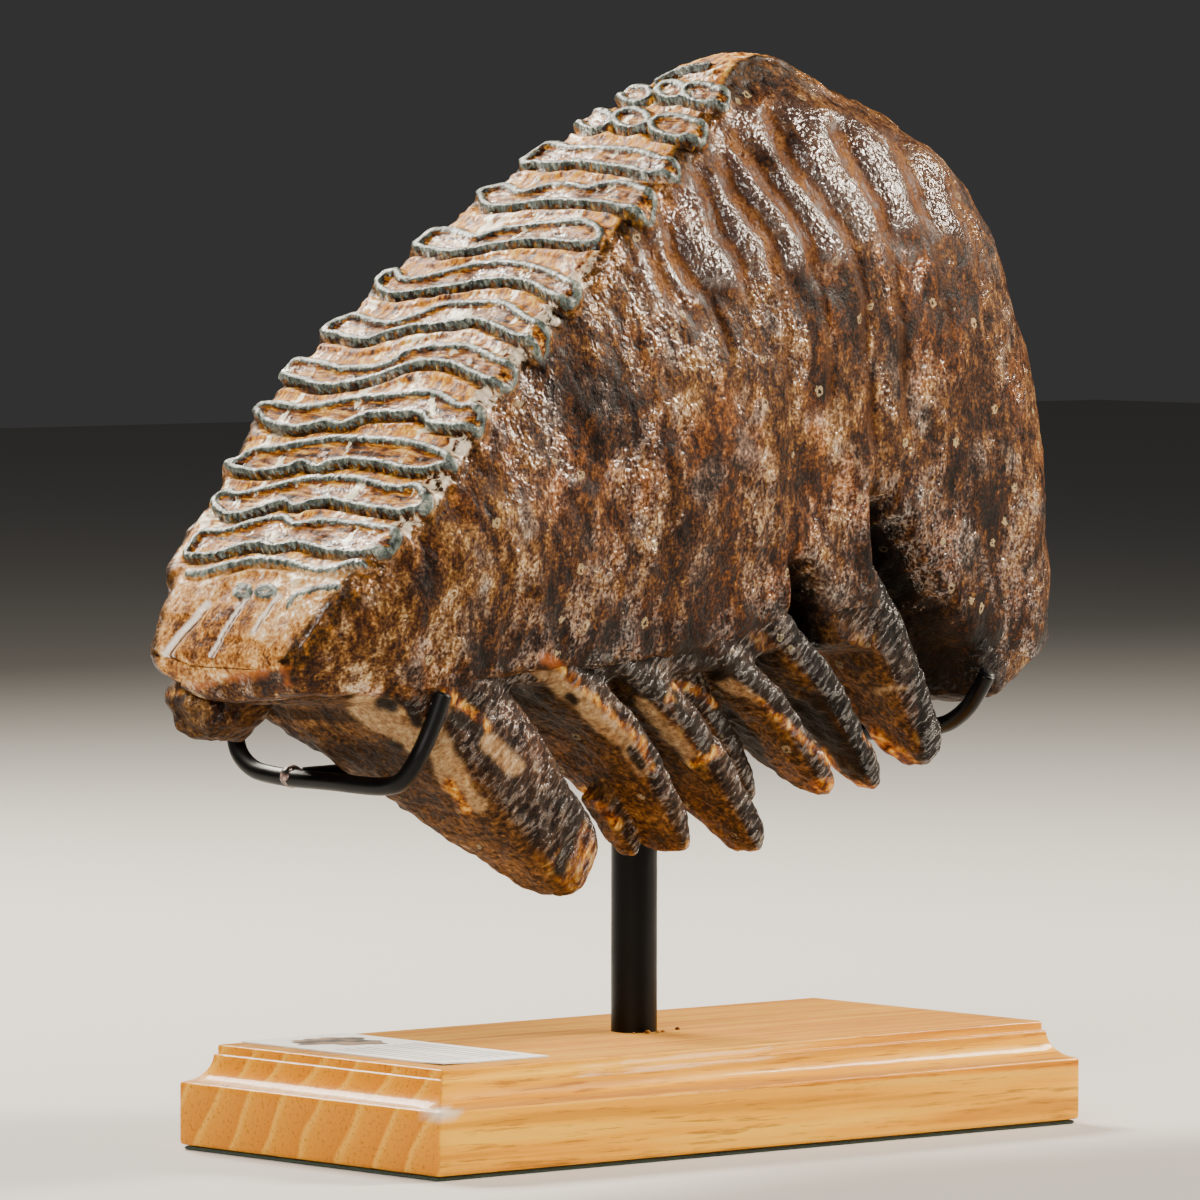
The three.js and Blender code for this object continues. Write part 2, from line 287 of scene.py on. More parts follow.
def add_node(tree: bpy.types.NodeTree, kind: str, inputs: dict | None = None, stops: Stops = (),
             **settings: object) -> bpy.types.Node:
    """Adds a node with its settings and links.

    Args:
        tree: The material's node tree.
        kind: The node's type, without the word ShaderNode.
        inputs: For each input, a value, a hex colour, or the socket or the node that feeds it.
        stops: Places and hex colours of a colour ramp.
        settings: The node's own properties.

    Returns:
        The node.
    """
    node = tree.nodes.new("ShaderNode" + kind)
    for key, value in settings.items():
        setattr(node, key, value)
    for key, value in (inputs or {}).items():
        if isinstance(value, bpy.types.Node):
            value = next(output for output in value.outputs if output.enabled)
        if isinstance(value, bpy.types.NodeSocket):
            tree.links.new(value, node.inputs[key])
        else:
            node.inputs[key].default_value = colour(value) if isinstance(value, str) else value
    for k, (place, code) in enumerate(stops):
        ramp = node.color_ramp.elements
        stop = ramp[k] if k < 2 else ramp.new(1.0)
        stop.position = place
        stop.color = colour(code)
    return node


def new_material(name: str) -> tuple[Material, Adder]:
    """Makes an empty material.

    Args:
        name: What it is made of, and how its surface was made.

    Returns:
        The material, and the function that adds a node to its tree.
    """
    material = bpy.data.materials.new(name)
    material.use_nodes = True
    material.node_tree.nodes.clear()
    return material, partial(add_node, material.node_tree)


def laid(add: Adder, ground: Feed, paints: tuple[tuple, ...]) -> Feed:
    """Lays paints over a ground, one after another.

    Args:
        add: Adds a node to the material's tree.
        ground: The colour underneath.
        paints: For each paint, where it lies, how strongly, its colour, and how it blends unless it covers.

    Returns:
        The colour on top.
    """
    for where, strength, paint, *blend in paints:
        share = add("Math", {0: where, 1: strength}, operation="MULTIPLY")
        kind = blend[0] if blend else "MIX"
        ground = add("Mix", {0: share, 6: ground, 7: paint}, data_type="RGBA", blend_type=kind)
    return ground


@dataclass(frozen=True)
class LacqueredCement:
    """The pattern that the whole tooth shares, as fossil cement shows it after long years in wet ground.

    Dark to tan speckles a millimetre across lie over clouds that turn rusty or grey, with a few crusty rings.
    """
    cloud: float = 17.0
    patch: float = 3.0
    grain: float = 0.9
    rust: float = 24.0
    grey: float = 13.0
    ring: float = 4.4
    stops: Stops = ((0.39, "#080402"), (0.445, "#200f06"), (0.485, "#3c200c"), (0.52, "#593716"),
                    (0.56, "#7b5428"), (0.61, "#b5905a"), (0.66, "#e6d3ae"))

    def build(self, add: Adder, place: Feed) -> dict[str, Feed]:
        """Adds the pattern's nodes.

        Args:
            add: Adds a node to the material's tree.
            place: The surface's own coordinates.

        Returns:
            The cement's colour, and the parts from 0 to 1: clouds, patches, grain, tone, rust, grey and ring.
        """
        out = {}
        drips = add("Mapping", {"Vector": place, "Scale": (1.2, 1.0, 0.75)})
        for name, where, size, detail, bent in (("clouds", drips, self.cloud, 4.0, 0.5),
                                                ("patches", drips, self.patch, 4.0, 0.3),
                                                ("grain", place, self.grain, 3.0, 0.0)):
            out[name] = add("TexNoise", {"Vector": where, "Scale": per(size), "Detail": detail,
                                         "Roughness": 0.6, "Distortion": bent})
        broad = add("Mix", {0: 0.45, 2: out["clouds"], 3: out["patches"]})
        tone = add("Mix", {0: 0.3, 2: broad, 3: out["grain"]})
        for name, shift in (("pale", 0.035), ("deep", -0.035)):
            share = add("Attribute", attribute_name=name).outputs["Fac"]
            tone = add("Math", {0: share, 1: shift, 2: tone}, operation="MULTIPLY_ADD")
        out["tone"] = tone
        out["cement"] = add("ValToRGB", {"Fac": tone}, self.stops)
        for name, size, low, high, where in (("rust", self.rust, 0.5, 0.62, drips),
                                             ("grey", self.grey, 0.55, 0.64, place)):
            field = add("TexNoise", {"Vector": where, "Scale": per(size), "Detail": 4.0, "W": size},
                        noise_dimensions="4D")
            out[name] = add("MapRange", {"Value": field, "From Min": low, "From Max": high})
        cells = add("TexVoronoi", {"Vector": place, "Scale": per(self.ring)}).outputs
        # a ring is a band of even distance from a cell's middle, in the few cells with the reddest colour
        uneven = add("Math", {0: out["grain"], 1: 0.7, 2: cells["Distance"]}, operation="MULTIPLY_ADD")
        off = add("Math", {0: uneven, 1: 0.57, 2: 0.075}, operation="COMPARE")
        few = add("Math", {0: add("SeparateColor", {0: cells["Color"]}), 1: 0.93}, operation="GREATER_THAN")
        out["ring"] = add("Math", {0: off, 1: few}, operation="MULTIPLY")
        return out


@dataclass(frozen=True)
class PolishedMolarCrown:
    """Fossil molar crown, worn on top and sealed with clear lacquer.

    Slate-coloured enamel lines, brown dentine inside them and tan cement outside them give the chewing
    surface its stripes. The sides are dark speckled cement, whose crackled lacquer throws broken glints from
    the ribs.
    """
    enamel_width: float = 1.9
    crimp: float = 1.2
    stroke: float = 1.5
    fibre: float = 1.1
    fold: float = 2.3
    fleck: float = 7.0
    dentine_stops: Stops = ((0.36, "#1f0d04"), (0.44, "#5a2d0a"), (0.52, "#955715"), (0.6, "#c98a28"),
                            (0.7, "#f3d488"))
    cement_stops: Stops = ((0.4, "#2c1203"), (0.45, "#7c410b"), (0.5, "#bb7414"), (0.55, "#de9c2c"),
                           (0.6, "#f6cd6b"), (0.64, "#fff1cb"))
    enamel_stops: Stops = ((0.36, "#1a201e"), (0.46, "#414b46"), (0.56, "#67726a"), (0.68, "#a9ac9c"))
    facet_stops: Stops = ((0.4, "#4a280f"), (0.45, "#935a25"), (0.5, "#c88e48"), (0.55, "#e9bd80"),
                          (0.6, "#fbebcf"))
    matt_stops: Stops = ((0.4, "#2e1607"), (0.5, "#5d3411"), (0.6, "#8a5c2b"))

    def build(self) -> Material:
        """Makes the material.

        Returns:
            The material.
        """
        material, add = new_material("fossil_molar_crown")
        place = add("TexCoord").outputs["Object"]
        read = {name: add("Attribute", attribute_name=name).outputs["Fac"] for name in (
            "loop_mm", "worn", "notch", "cream", "chalk", "ridge", "furrow", "shade", "facet", "amber",
            "slate", "skin")}
        pattern = LacqueredCement().build(add, place)
        patches, grain, tone = pattern["patches"], pattern["grain"], pattern["tone"]
        # strokes run up the chewing surface and fibres run across it
        upslope = add("Mapping", {"Vector": place, "Scale": (0.45, 1.0, 0.45)})
        strokes = add("TexNoise", {"Vector": upslope, "Scale": per(self.stroke), "Detail": 5.0,
                                   "Roughness": 0.65})
        across = add("Mapping", {"Vector": place, "Scale": (1.0, 0.12, 1.0)})
        lines = add("TexNoise", {"Vector": across, "Scale": per(self.fibre), "Detail": 4.0, "Roughness": 0.6})
        mixed = add("Mix", {0: 0.45, 2: strokes, 3: patches})
        # enamel bands, with a crimped dark rim along their edges that is painted shade
        fine = add("TexNoise", {"Vector": place, "Scale": per(self.crimp), "Detail": 2.0})
        crimped = add("Math", {0: fine, 1: 1.5, 2: -0.75}, operation="MULTIPLY_ADD")
        from_line = add("Math", {0: read["loop_mm"], 1: crimped}, operation="ADD")
        gap = add("Math", {0: from_line}, operation="ABSOLUTE")
        half = self.enamel_width / 2
        on_enamel = add("MapRange", {"Value": gap, "From Min": half + 0.12, "From Max": half - 0.12})
        rim = add("MapRange", {"Value": gap, "From Min": half + 0.55, "From Max": half + 0.05})
        inside = add("MapRange", {"Value": from_line, "From Min": 0.2, "From Max": -0.2})
        # cream flecks, more of them near the cheek side
        blobs = add("TexNoise", {"Vector": upslope, "Scale": per(self.fleck), "Detail": 3.0,
                                 "Roughness": 0.6})
        wanted = add("Math", {0: read["cream"], 1: 0.2, 2: blobs}, operation="MULTIPLY_ADD")
        flecks = add("MapRange", {"Value": wanted, "From Min": 0.6, "From Max": 0.625,
                                  "To Max": read["worn"]})
        # paints from the ground up, on the front facet, the chewing surface, the sides and then all of it
        # the near white over the facet's channels is a painted highlight
        facet = laid(add, add("ValToRGB", {"Fac": tone}, self.facet_stops), (
            (read["ridge"], 1.0, "#fff4e8"),))
        # the near-black below the enamel lines and along their rims is painted shadow and shade
        top = laid(add, add("ValToRGB", {"Fac": mixed}, self.cement_stops), (
            (inside, 1.0, add("ValToRGB", {"Fac": lines}, self.dentine_stops)), (flecks, 1.0, "#f6e8c4"),
            (read["notch"], 0.92, "#120904"), (rim, 0.85, "#120904"), (read["facet"], 1.0, facet),
            (on_enamel, 1.0, add("ValToRGB", {"Fac": strokes}, self.enamel_stops))))
        side = laid(add, pattern["cement"], (
            (pattern["rust"], 0.6, "#9a500f", "COLOR"), (pattern["grey"], 0.45, "#75706c", "COLOR"),
            (read["skin"], 1.0, "#8f5a1d", "COLOR"), (pattern["ring"], 0.6, "#bfa97f"),
            (read["furrow"], 1.0, add("ValToRGB", {"Fac": tone}, self.matt_stops)),
            (read["ridge"], 0.7, "#47332b")))
        broken = add("Math", {0: read["chalk"], 1: 0.16, 2: mixed}, operation="MULTIPLY_ADD")
        chalk = add("MapRange", {"Value": broken, "From Min": 0.6, "From Max": 0.68, "To Max": read["chalk"]})
        # the near-black over shade is painted shade in the hollows, furrow lines and channels
        base = laid(add, side, (
            (read["worn"], 1.0, top), (chalk, 1.0, "#eddcc0"), (read["shade"], 0.93, "#0a0502"),
            (read["slate"], 0.75, "#1d1c1b"), (read["amber"], 0.7, "#a9581a")))
        # the lacquer lies thick on the ribs and the enamel, in spots elsewhere and not in the furrows
        clusters = add("MapRange", {"Value": pattern["clouds"], "From Min": 0.49, "From Max": 0.57})
        dotted = add("Mix", {0: 0.5, 2: mixed, 3: grain})
        coat = add("MapRange", {"Value": dotted, "From Min": 0.48, "From Max": 0.53, "To Max": clusters})
        for share, weight in ((on_enamel, 0.35), (flecks, 0.6), (chalk, 0.6), (read["ridge"], 1.0)):
            part = add("Math", {0: share, 1: weight}, operation="MULTIPLY")
            coat = add("Math", {0: coat, 1: part}, operation="MAXIMUM")
        coat = add("Math", {0: coat, 1: read["furrow"]}, operation="SUBTRACT", use_clamp=True)
        rough = add("MapRange", {"Value": patches, "From Min": 0.42, "From Max": 0.58, "To Min": 0.42,
                                 "To Max": 0.7})
        # the lacquer is crumpled like foil, over grit on the sides and strokes on top
        wander = add("TexNoise", {"Vector": place, "Scale": per(3), "Detail": 3.0}).outputs["Color"]
        bent = add("VectorMath", {0: wander, 1: (3 * MM,) * 3, 2: place}, operation="MULTIPLY_ADD")
        folds = add("TexVoronoi", {"Vector": bent, "Scale": per(self.fold)}, feature="DISTANCE_TO_EDGE")
        crumpled = add("Math", {0: clusters, 1: read["ridge"]}, operation="MAXIMUM")
        folds = add("Math", {0: folds, 1: crumpled}, operation="MULTIPLY")
        grit = add("Math", {0: patches, 1: 0.4}, operation="MULTIPLY")
        grit = add("Math", {0: folds, 1: 0.6, 2: grit}, operation="MULTIPLY_ADD")
        worked = add("Math", {0: mixed, 1: 0.8}, operation="MULTIPLY")
        height = add("Mix", {0: read["worn"], 2: grit, 3: worked})
        coarse = add("Bump", {"Height": height, "Strength": 0.9, "Distance": 1.3 * MM})
        bump = add("Bump", {"Height": grain, "Strength": 0.6, "Distance": 0.3 * MM, "Normal": coarse})
        add("OutputMaterial", {"Surface": add("BsdfPrincipled", {
            "Base Color": base, "Roughness": rough, "Specular IOR Level": 0.12, "Normal": bump,
            "Coat Weight": coat, "Coat Roughness": 0.1, "Coat IOR": 1.9, "Coat Normal": bump})})
        return material


@dataclass(frozen=True)
class PolishedRootDentine:
    """Fossil root dentine under clear lacquer.

    Nearly black with silver glints drawn out along the roots, brown and fibrous on the faces that look
    forward, and cream where the skin is gone, with amber at thin edges.
    """
    drawn_grain: float = 1.3
    lean: float = -48.0
    dark_stops: Stops = ((0.4, "#050302"), (0.46, "#1a0e08"), (0.51, "#312013"), (0.56, "#4b3421"),
                         (0.61, "#70563b"), (0.66, "#b9a68c"))
    brown_stops: Stops = ((0.4, "#140a04"), (0.47, "#38210d"), (0.53, "#654019"), (0.58, "#865b2b"),
                          (0.65, "#b28850"))
    cream_stops: Stops = ((0.36, "#54371c"), (0.44, "#876340"), (0.5, "#a38058"), (0.57, "#bd9d70"),
                          (0.68, "#e0cda6"))
    amber_stops: Stops = ((0.38, "#3d1602"), (0.48, "#8a4a0a"), (0.56, "#c4821f"), (0.66, "#e6c069"))

    def build(self) -> Material:
        """Makes the material.

        Returns:
            The material.
        """
        material, add = new_material("fossil_root_dentine")
        place = add("TexCoord").outputs["Object"]
        read = {name: add("Attribute", attribute_name=name).outputs["Fac"]
                for name in ("root", "brown", "cream", "amber", "slate", "shade")}
        pattern = LacqueredCement().build(add, place)
        leant = add("Mapping", {"Vector": place, "Rotation": (0.0, math.radians(self.lean), 0.0)})
        drawn = add("Mapping", {"Vector": leant, "Scale": (1.0, 1.0, 0.3)})
        fibres = add("TexNoise", {"Vector": drawn, "Scale": per(self.drawn_grain), "Detail": 4.0,
                                  "Roughness": 0.6})
        mixed = add("Mix", {0: 0.4, 2: pattern["tone"], 3: fibres})
        dark, brown, cream = (add("ValToRGB", {"Fac": mixed}, stops)
                              for stops in (self.dark_stops, self.brown_stops, self.cream_stops))
        amber = add("ValToRGB", {"Fac": pattern["patches"]}, self.amber_stops)
        # the near-black over shade is painted shade
        base = laid(add, pattern["cement"], (
            (read["root"], 1.0, dark), (pattern["rust"], 0.5, "#9a500f", "COLOR"),
            (read["brown"], 1.0, brown), (pattern["ring"], 0.45, "#b7a987"), (read["cream"], 1.0, cream),
            (read["amber"], 1.0, amber), (read["slate"], 1.0, "#1f160f"), (read["shade"], 0.9, "#080402")))
        lacquer = add("MapRange", {"Value": fibres, "From Min": 0.5, "From Max": 0.56, "To Max": 0.8})
        lacquer = add("Math", {0: lacquer, 1: read["root"]}, operation="MULTIPLY")
        dull = add("Math", {0: read["brown"], 1: 0.8}, operation="MULTIPLY")
        coat = add("Math", {0: lacquer, 1: dull}, operation="SUBTRACT", use_clamp=True)
        coarse = add("Bump", {"Height": fibres, "Strength": 1.0, "Distance": 1.1 * MM})
        bump = add("Bump", {"Height": pattern["grain"], "Strength": 0.55, "Distance": 0.4 * MM,
                            "Normal": coarse})
        add("OutputMaterial", {"Surface": add("BsdfPrincipled", {
            "Base Color": base, "Roughness": 0.55, "Specular IOR Level": 0.1, "Normal": bump,
            "Coat Weight": coat, "Coat Roughness": 0.1, "Coat IOR": 1.9, "Coat Normal": bump})})
        return material


@dataclass(frozen=True)
class PaintedSteel:
    """Steel rod, bent and welded, sprayed with satin black paint.

    The paint is nearly black, with soft broad highlights and a faint orange-peel unevenness.
    """
    peel: float = 1.5
    wear: float = 14.0

    def build(self) -> Material:
        """Makes the material.

        Returns:
            The material.
        """
        material, add = new_material("satin_black_painted_steel")
        place = add("TexCoord").outputs["Object"]
        peel = add("TexNoise", {"Vector": place, "Scale": per(self.peel), "Detail": 2.0})
        wear = add("TexNoise", {"Vector": place, "Scale": per(self.wear), "Detail": 6.0})
        base = add("ValToRGB", {"Fac": wear}, ((0.4, "#030304"), (0.7, "#090909")))
        rough = add("MapRange", {"Value": wear, "From Min": 0.3, "From Max": 0.7, "To Min": 0.3,
                                 "To Max": 0.46})
        bump = add("Bump", {"Height": peel, "Strength": 0.12, "Distance": 0.1 * MM})
        add("OutputMaterial", {"Surface": add("BsdfPrincipled", {
            "Base Color": base, "Roughness": rough, "Specular IOR Level": 0.18, "Normal": bump})})
        return material


@dataclass(frozen=True)
class WeldWithPaintedHighlight:
    """A weld bead in black paint, with pale pink patches that are a painted highlight."""
    highlight_patch: float = 2.2

    def build(self) -> Material:
        """Makes the material.

        Returns:
            The material.
        """
        material, add = new_material("weld_with_painted_highlight")
        place = add("TexCoord").outputs["Object"]
        worn = add("TexNoise", {"Vector": place, "Scale": per(self.highlight_patch), "Detail": 4.0})
        # the pale pink is a painted highlight; the noise only places it
        base = add("ValToRGB", {"Fac": worn}, ((0.42, "#141414"), (0.55, "#8d6f68"), (0.7, "#e6cfc8")))
        bump = add("Bump", {"Height": worn, "Strength": 0.5, "Distance": 0.4 * MM})
        add("OutputMaterial", {"Surface": add("BsdfPrincipled", {
            "Base Color": base, "Roughness": 0.35, "Normal": bump})})
        return material


@dataclass(frozen=True)
class VarnishedHardwood:
    """A block of pale hardwood, milled and varnished.

    Growth rings run through the whole block, so the long sides show level grain and the ends show slanted
    bands. The varnish is honey-coloured and glossy, and end grain soaks it up and turns orange-brown.
    """
    ring_spacing: float = 12.0
    ring_centre: tuple[float, float] = (-260.0, -150.0)
    bend_size: float = 45.0
    bend: float = 14.0
    pore_length: float = 9.0
    pore_width: float = 0.5
    streak: float = 3.5
    ring_stops: Stops = ((0.0, "#f5a818"), (0.55, "#fdba26"), (0.86, "#de8c10"), (1.0, "#f5a818"))
    streak_stops: Stops = ((0.38, "#b3650a"), (0.48, "#f0a116"), (0.62, "#ffc942"))
    end_stops: Stops = ((0.0, "#da8408"), (0.7, "#e6960f"), (0.88, "#f3b238"), (0.94, "#e6960f"),
                        (1.0, "#d27a06"))

    def build(self) -> Material:
        """Makes the material.

        Returns:
            The material.
        """
        material, add = new_material("varnished_hardwood")
        place = add("TexCoord").outputs["Object"]
        drawn = add("Mapping", {"Vector": place, "Scale": (0.12, 1.0, 1.0)})
        bent = add("TexNoise", {"Vector": drawn, "Scale": per(self.bend_size), "Detail": 3.0})
        back = tuple(-v * MM for v in (0.0, *self.ring_centre))
        away = add("VectorMath", {0: place, 1: back}, operation="ADD")
        flat = add("VectorMath", {0: away, 1: (0.0, 1.0, 1.0)}, operation="MULTIPLY")
        distance = add("VectorMath", {0: flat}, operation="LENGTH")
        warped = add("Math", {0: bent, 1: self.bend * MM, 2: distance}, operation="MULTIPLY_ADD")
        turns = add("Math", {0: warped, 1: per(self.ring_spacing)}, operation="MULTIPLY")
        ring = add("Math", {0: turns}, operation="FRACT")
        long = add("Mapping", {"Vector": place, "Scale": (self.pore_width / self.pore_length, 1.0, 1.0)})
        pores = add("TexNoise", {"Vector": long, "Scale": per(self.pore_width * 2), "Detail": 4.0,
                                 "Roughness": 0.6})
        longer = add("Mapping", {"Vector": place, "Scale": (0.03, 1.0, 1.0)})
        streaks = add("TexNoise", {"Vector": longer, "Scale": per(self.streak), "Detail": 5.0})
        normal = add("SeparateXYZ", {0: add("NewGeometry").outputs["Normal"]}).outputs
        facing_x = add("Math", {0: normal[0]}, operation="ABSOLUTE")
        end = add("MapRange", {"Value": facing_x, "From Min": 0.35, "From Max": 0.8})
        # faces that look up are painted darker, as painted shade on the top
        up = add("MapRange", {"Value": normal[2], "From Min": 0.75, "From Max": 0.95})
        dark = add("MapRange", {"Value": pores, "From Min": 0.45, "From Max": 0.33})
        chip = add("Attribute", attribute_name="chip").outputs["Fac"]
        base = laid(add, add("ValToRGB", {"Fac": ring}, self.ring_stops), (
            (1.0, 0.5, add("ValToRGB", {"Fac": streaks}, self.streak_stops)),
            (end, 1.0, add("ValToRGB", {"Fac": ring}, self.end_stops)), (up, 0.55, "#a87b50"),
            (dark, 0.6, "#8a4a10"), (chip, 1.0, "#e8dcc8")))
        rough = add("MapRange", {"Value": pores, "From Min": 0.3, "From Max": 0.7, "To Min": 0.42,
                                 "To Max": 0.26})
        bump = add("Bump", {"Height": pores, "Strength": 0.25, "Distance": 0.25 * MM})
        add("OutputMaterial", {"Surface": add("BsdfPrincipled", {
            "Base Color": base, "Roughness": rough, "Specular IOR Level": 0.05, "Normal": bump,
            "Coat Weight": 0.18, "Coat Roughness": 0.06})})
        return material


@dataclass(frozen=True)
class PressedFelt:
    """Thin pressed wool felt, dyed dark green, with a soft fuzzy edge."""
    fibre: float = 0.8

    def build(self) -> Material:
        """Makes the material.

        Returns:
            The material.
        """
        material, add = new_material("pressed_green_felt")
        place = add("TexCoord").outputs["Object"]
        fibre = add("TexNoise", {"Vector": place, "Scale": per(self.fibre), "Detail": 5.0, "Distortion": 1.5})
        base = add("ValToRGB", {"Fac": fibre}, ((0.35, "#0e2117"), (0.65, "#24422f")))
        bump = add("Bump", {"Height": fibre, "Strength": 0.8, "Distance": 0.3 * MM})
        add("OutputMaterial", {"Surface": add("BsdfPrincipled", {
            "Base Color": base, "Roughness": 0.95, "Sheen Weight": 0.3, "Normal": bump})})
        return material


@dataclass(frozen=True)
class PrintedCard:
    """Smooth white card, printed with a plain tinted patch and pale grey ruled lines."""
    grain: float = 0.6
    blot: float = 6.0

    def build(self) -> Material:
        """Makes the material.

        Returns:
            The material.
        """
        material, add = new_material("printed_white_card")
        place = add("TexCoord").outputs["Object"]
        ink, patch = (add("Attribute", attribute_name=name).outputs["Fac"] for name in ("ink", "patch"))
        grain = add("TexNoise", {"Vector": place, "Scale": per(self.grain), "Detail": 3.0})
        blots = add("TexNoise", {"Vector": place, "Scale": per(self.blot), "Detail": 4.0})
        paper = add("ValToRGB", {"Fac": grain}, ((0.3, "#e9e8e4"), (0.7, "#f4f3f0")))
        tint = add("ValToRGB", {"Fac": blots}, ((0.4, "#2e2018"), (0.6, "#94765a")))
        base = laid(add, paper, ((ink, 0.85, "#55565a"), (patch, 1.0, tint)))
        bump = add("Bump", {"Height": grain, "Strength": 0.1, "Distance": 0.05 * MM})
        add("OutputMaterial", {"Surface": add("BsdfPrincipled", {
            "Base Color": base, "Roughness": 0.5, "Normal": bump})})
        return material


@dataclass(frozen=True)
class StudioPaper:
    """Plain pale paper roll under and behind the object, matte and even."""
    shade: str = "#c6c4c0"
    grain: float = 1.5

    def build(self) -> Material:
        """Makes the material.

        Returns:
            The material.
        """
        material, add = new_material("studio_paper")
        place = add("TexCoord").outputs["Object"]
        grain = add("TexNoise", {"Vector": place, "Scale": per(self.grain), "Detail": 3.0})
        bump = add("Bump", {"Height": grain, "Strength": 0.05, "Distance": 0.1 * MM})
        add("OutputMaterial", {"Surface": add("BsdfPrincipled", {
            "Base Color": self.shade, "Roughness": 0.75, "Normal": bump})})
        return material


# camera and stage

def set_up(name: str, data: bpy.types.ID, axes: Points, place: Points) -> bpy.types.Object:
    """Puts a camera or a lamp in the scene.

    Args:
        name: Its name.
        data: The camera or the light.
        axes: Its right, up and back directions, as rows.
        place: Where it stands, in millimetres.

    Returns:
        The object.
    """
    thing = bpy.data.objects.new(name, data)
    matrix = Matrix(np.asarray(axes).T.tolist()).to_4x4()
    matrix.translation = (np.asarray(place) * MM).tolist()
    thing.matrix_world = matrix
    bpy.context.scene.collection.objects.link(thing)
    return thing


@dataclass(frozen=True)
class StudioCamera:
    """A long lens at a distance, looking slightly down on the front end and the cheek side of the tooth.

    The aim gives how far right of and above the picture's middle the stand's origin lies at the lens.
    """
    azimuth: float = -41.078
    pitch: float = 2.874
    roll: float = 0.076
    aim: tuple[float, float] = (9.108, -138.881)
    distance: float = 2589.56
    lens: float = 300.0
    sensor: float = 36.0
    picture: float = 1200.0

    def axes(self) -> Points:
        """The camera's directions.

        Returns:
            Its right, up and back directions, as rows.
        """
        a, p, r = (math.radians(v) for v in (self.azimuth, self.pitch, self.roll))
        back = np.array([math.sin(a) * math.cos(p), -math.cos(a) * math.cos(p), math.sin(p)])
        right = np.array([math.cos(a), math.sin(a), 0.0])
        up = np.cross(back, right)
        cos, sin = math.cos(r), math.sin(r)
        return np.array([cos * right + sin * up, cos * up - sin * right, back])

    def place(self) -> Points:
        """Where the lens is, in millimetres."""
        right, up, back = self.axes()
        return self.distance * back - self.aim[0] * right - self.aim[1] * up

    def see(self, points: Points) -> Points:
        """Where the camera sees points.

        Args:
            points: Places (..., 3) of the stand's frame, in millimetres.

        Returns:
            Pixels (..., 2) of the square picture.
        """
        right, up, back = self.axes()
        away = points - self.place()
        depth = -(away @ back)
        scale = self.lens / self.sensor * self.picture
        half = self.picture / 2
        return np.stack([half + scale * (away @ right) / depth, half - scale * (away @ up) / depth], -1)

    def build(self) -> None:
        """Makes the camera and sets it as the scene's."""
        data = bpy.data.cameras.new("studio_camera")
        data.lens = self.lens
        data.sensor_width = self.sensor
        data.clip_end = 50.0
        bpy.context.scene.camera = set_up("studio_camera", data, self.axes(), self.place())


@dataclass(frozen=True)
class Lamp:
    """A soft box: its place and its aim in millimetres, its size, power in watts and colour."""
    name: str
    place: Triple
    size: tuple[float, float]
    watts: float
    tint: str = "#ffffff"
    aim: Triple = (0.0, 0.0, 150.0)

    def build(self) -> None:
        """Makes the area light."""
        data = bpy.data.lights.new(self.name, "AREA")
        data.shape = "RECTANGLE"
        data.size, data.size_y = (s * MM for s in self.size)
        data.energy = self.watts
        data.color = colour(self.tint)[:3]
        back = np.array(self.place) - np.array(self.aim)
        back = back / np.linalg.norm(back)
        right = np.cross((0, 0, 1), back)
        right /= np.linalg.norm(right)
        set_up(self.name, data, (right, np.cross(back, right), back), self.place)


@dataclass(frozen=True)
class Studio:
    """Pale paper under the stand, soft boxes round it and a dim even surround."""
    floor_size: float = 9000.0
    surround: str = "#b8b8b8"
    surround_strength: float = 0.08
    lamps: tuple[Lamp, ...] = (
        Lamp("right_box", (1150, -480, 900), (280, 380), 46, "#fff0dc"),
        Lamp("left_box", (-1100, -700, 900), (500, 700), 22, "#fff8ee"),
        Lamp("back_box", (60, 1050, 1000), (700, 300), 50, "#fff6e6"),
        Lamp("low_strip", (900, -1050, 330), (50, 260), 2.0, "#fff6ea"),
    )

    def build(self) -> None:
        """Makes the floor, the lights and the world."""
        half = self.floor_size / 2 * MM
        corners = [(-half, -half, 0), (half, -half, 0), (half, half, 0), (-half, half, 0)]
        mesh = bpy.data.meshes.new("studio_floor")
        mesh.from_pydata(corners, [], [(0, 1, 2, 3)])
        mesh.materials.append(StudioPaper().build())
        floor = bpy.data.objects.new("studio_floor", mesh)
        bpy.context.scene.collection.objects.link(floor)
        for lamp in self.lamps:
            lamp.build()
        world = bpy.data.worlds.new("studio_surround")
        world.use_nodes = True
        shade = world.node_tree.nodes["Background"]
        shade.inputs["Color"].default_value = colour(self.surround)
        shade.inputs["Strength"].default_value = self.surround_strength
        bpy.context.scene.world = world


# stand

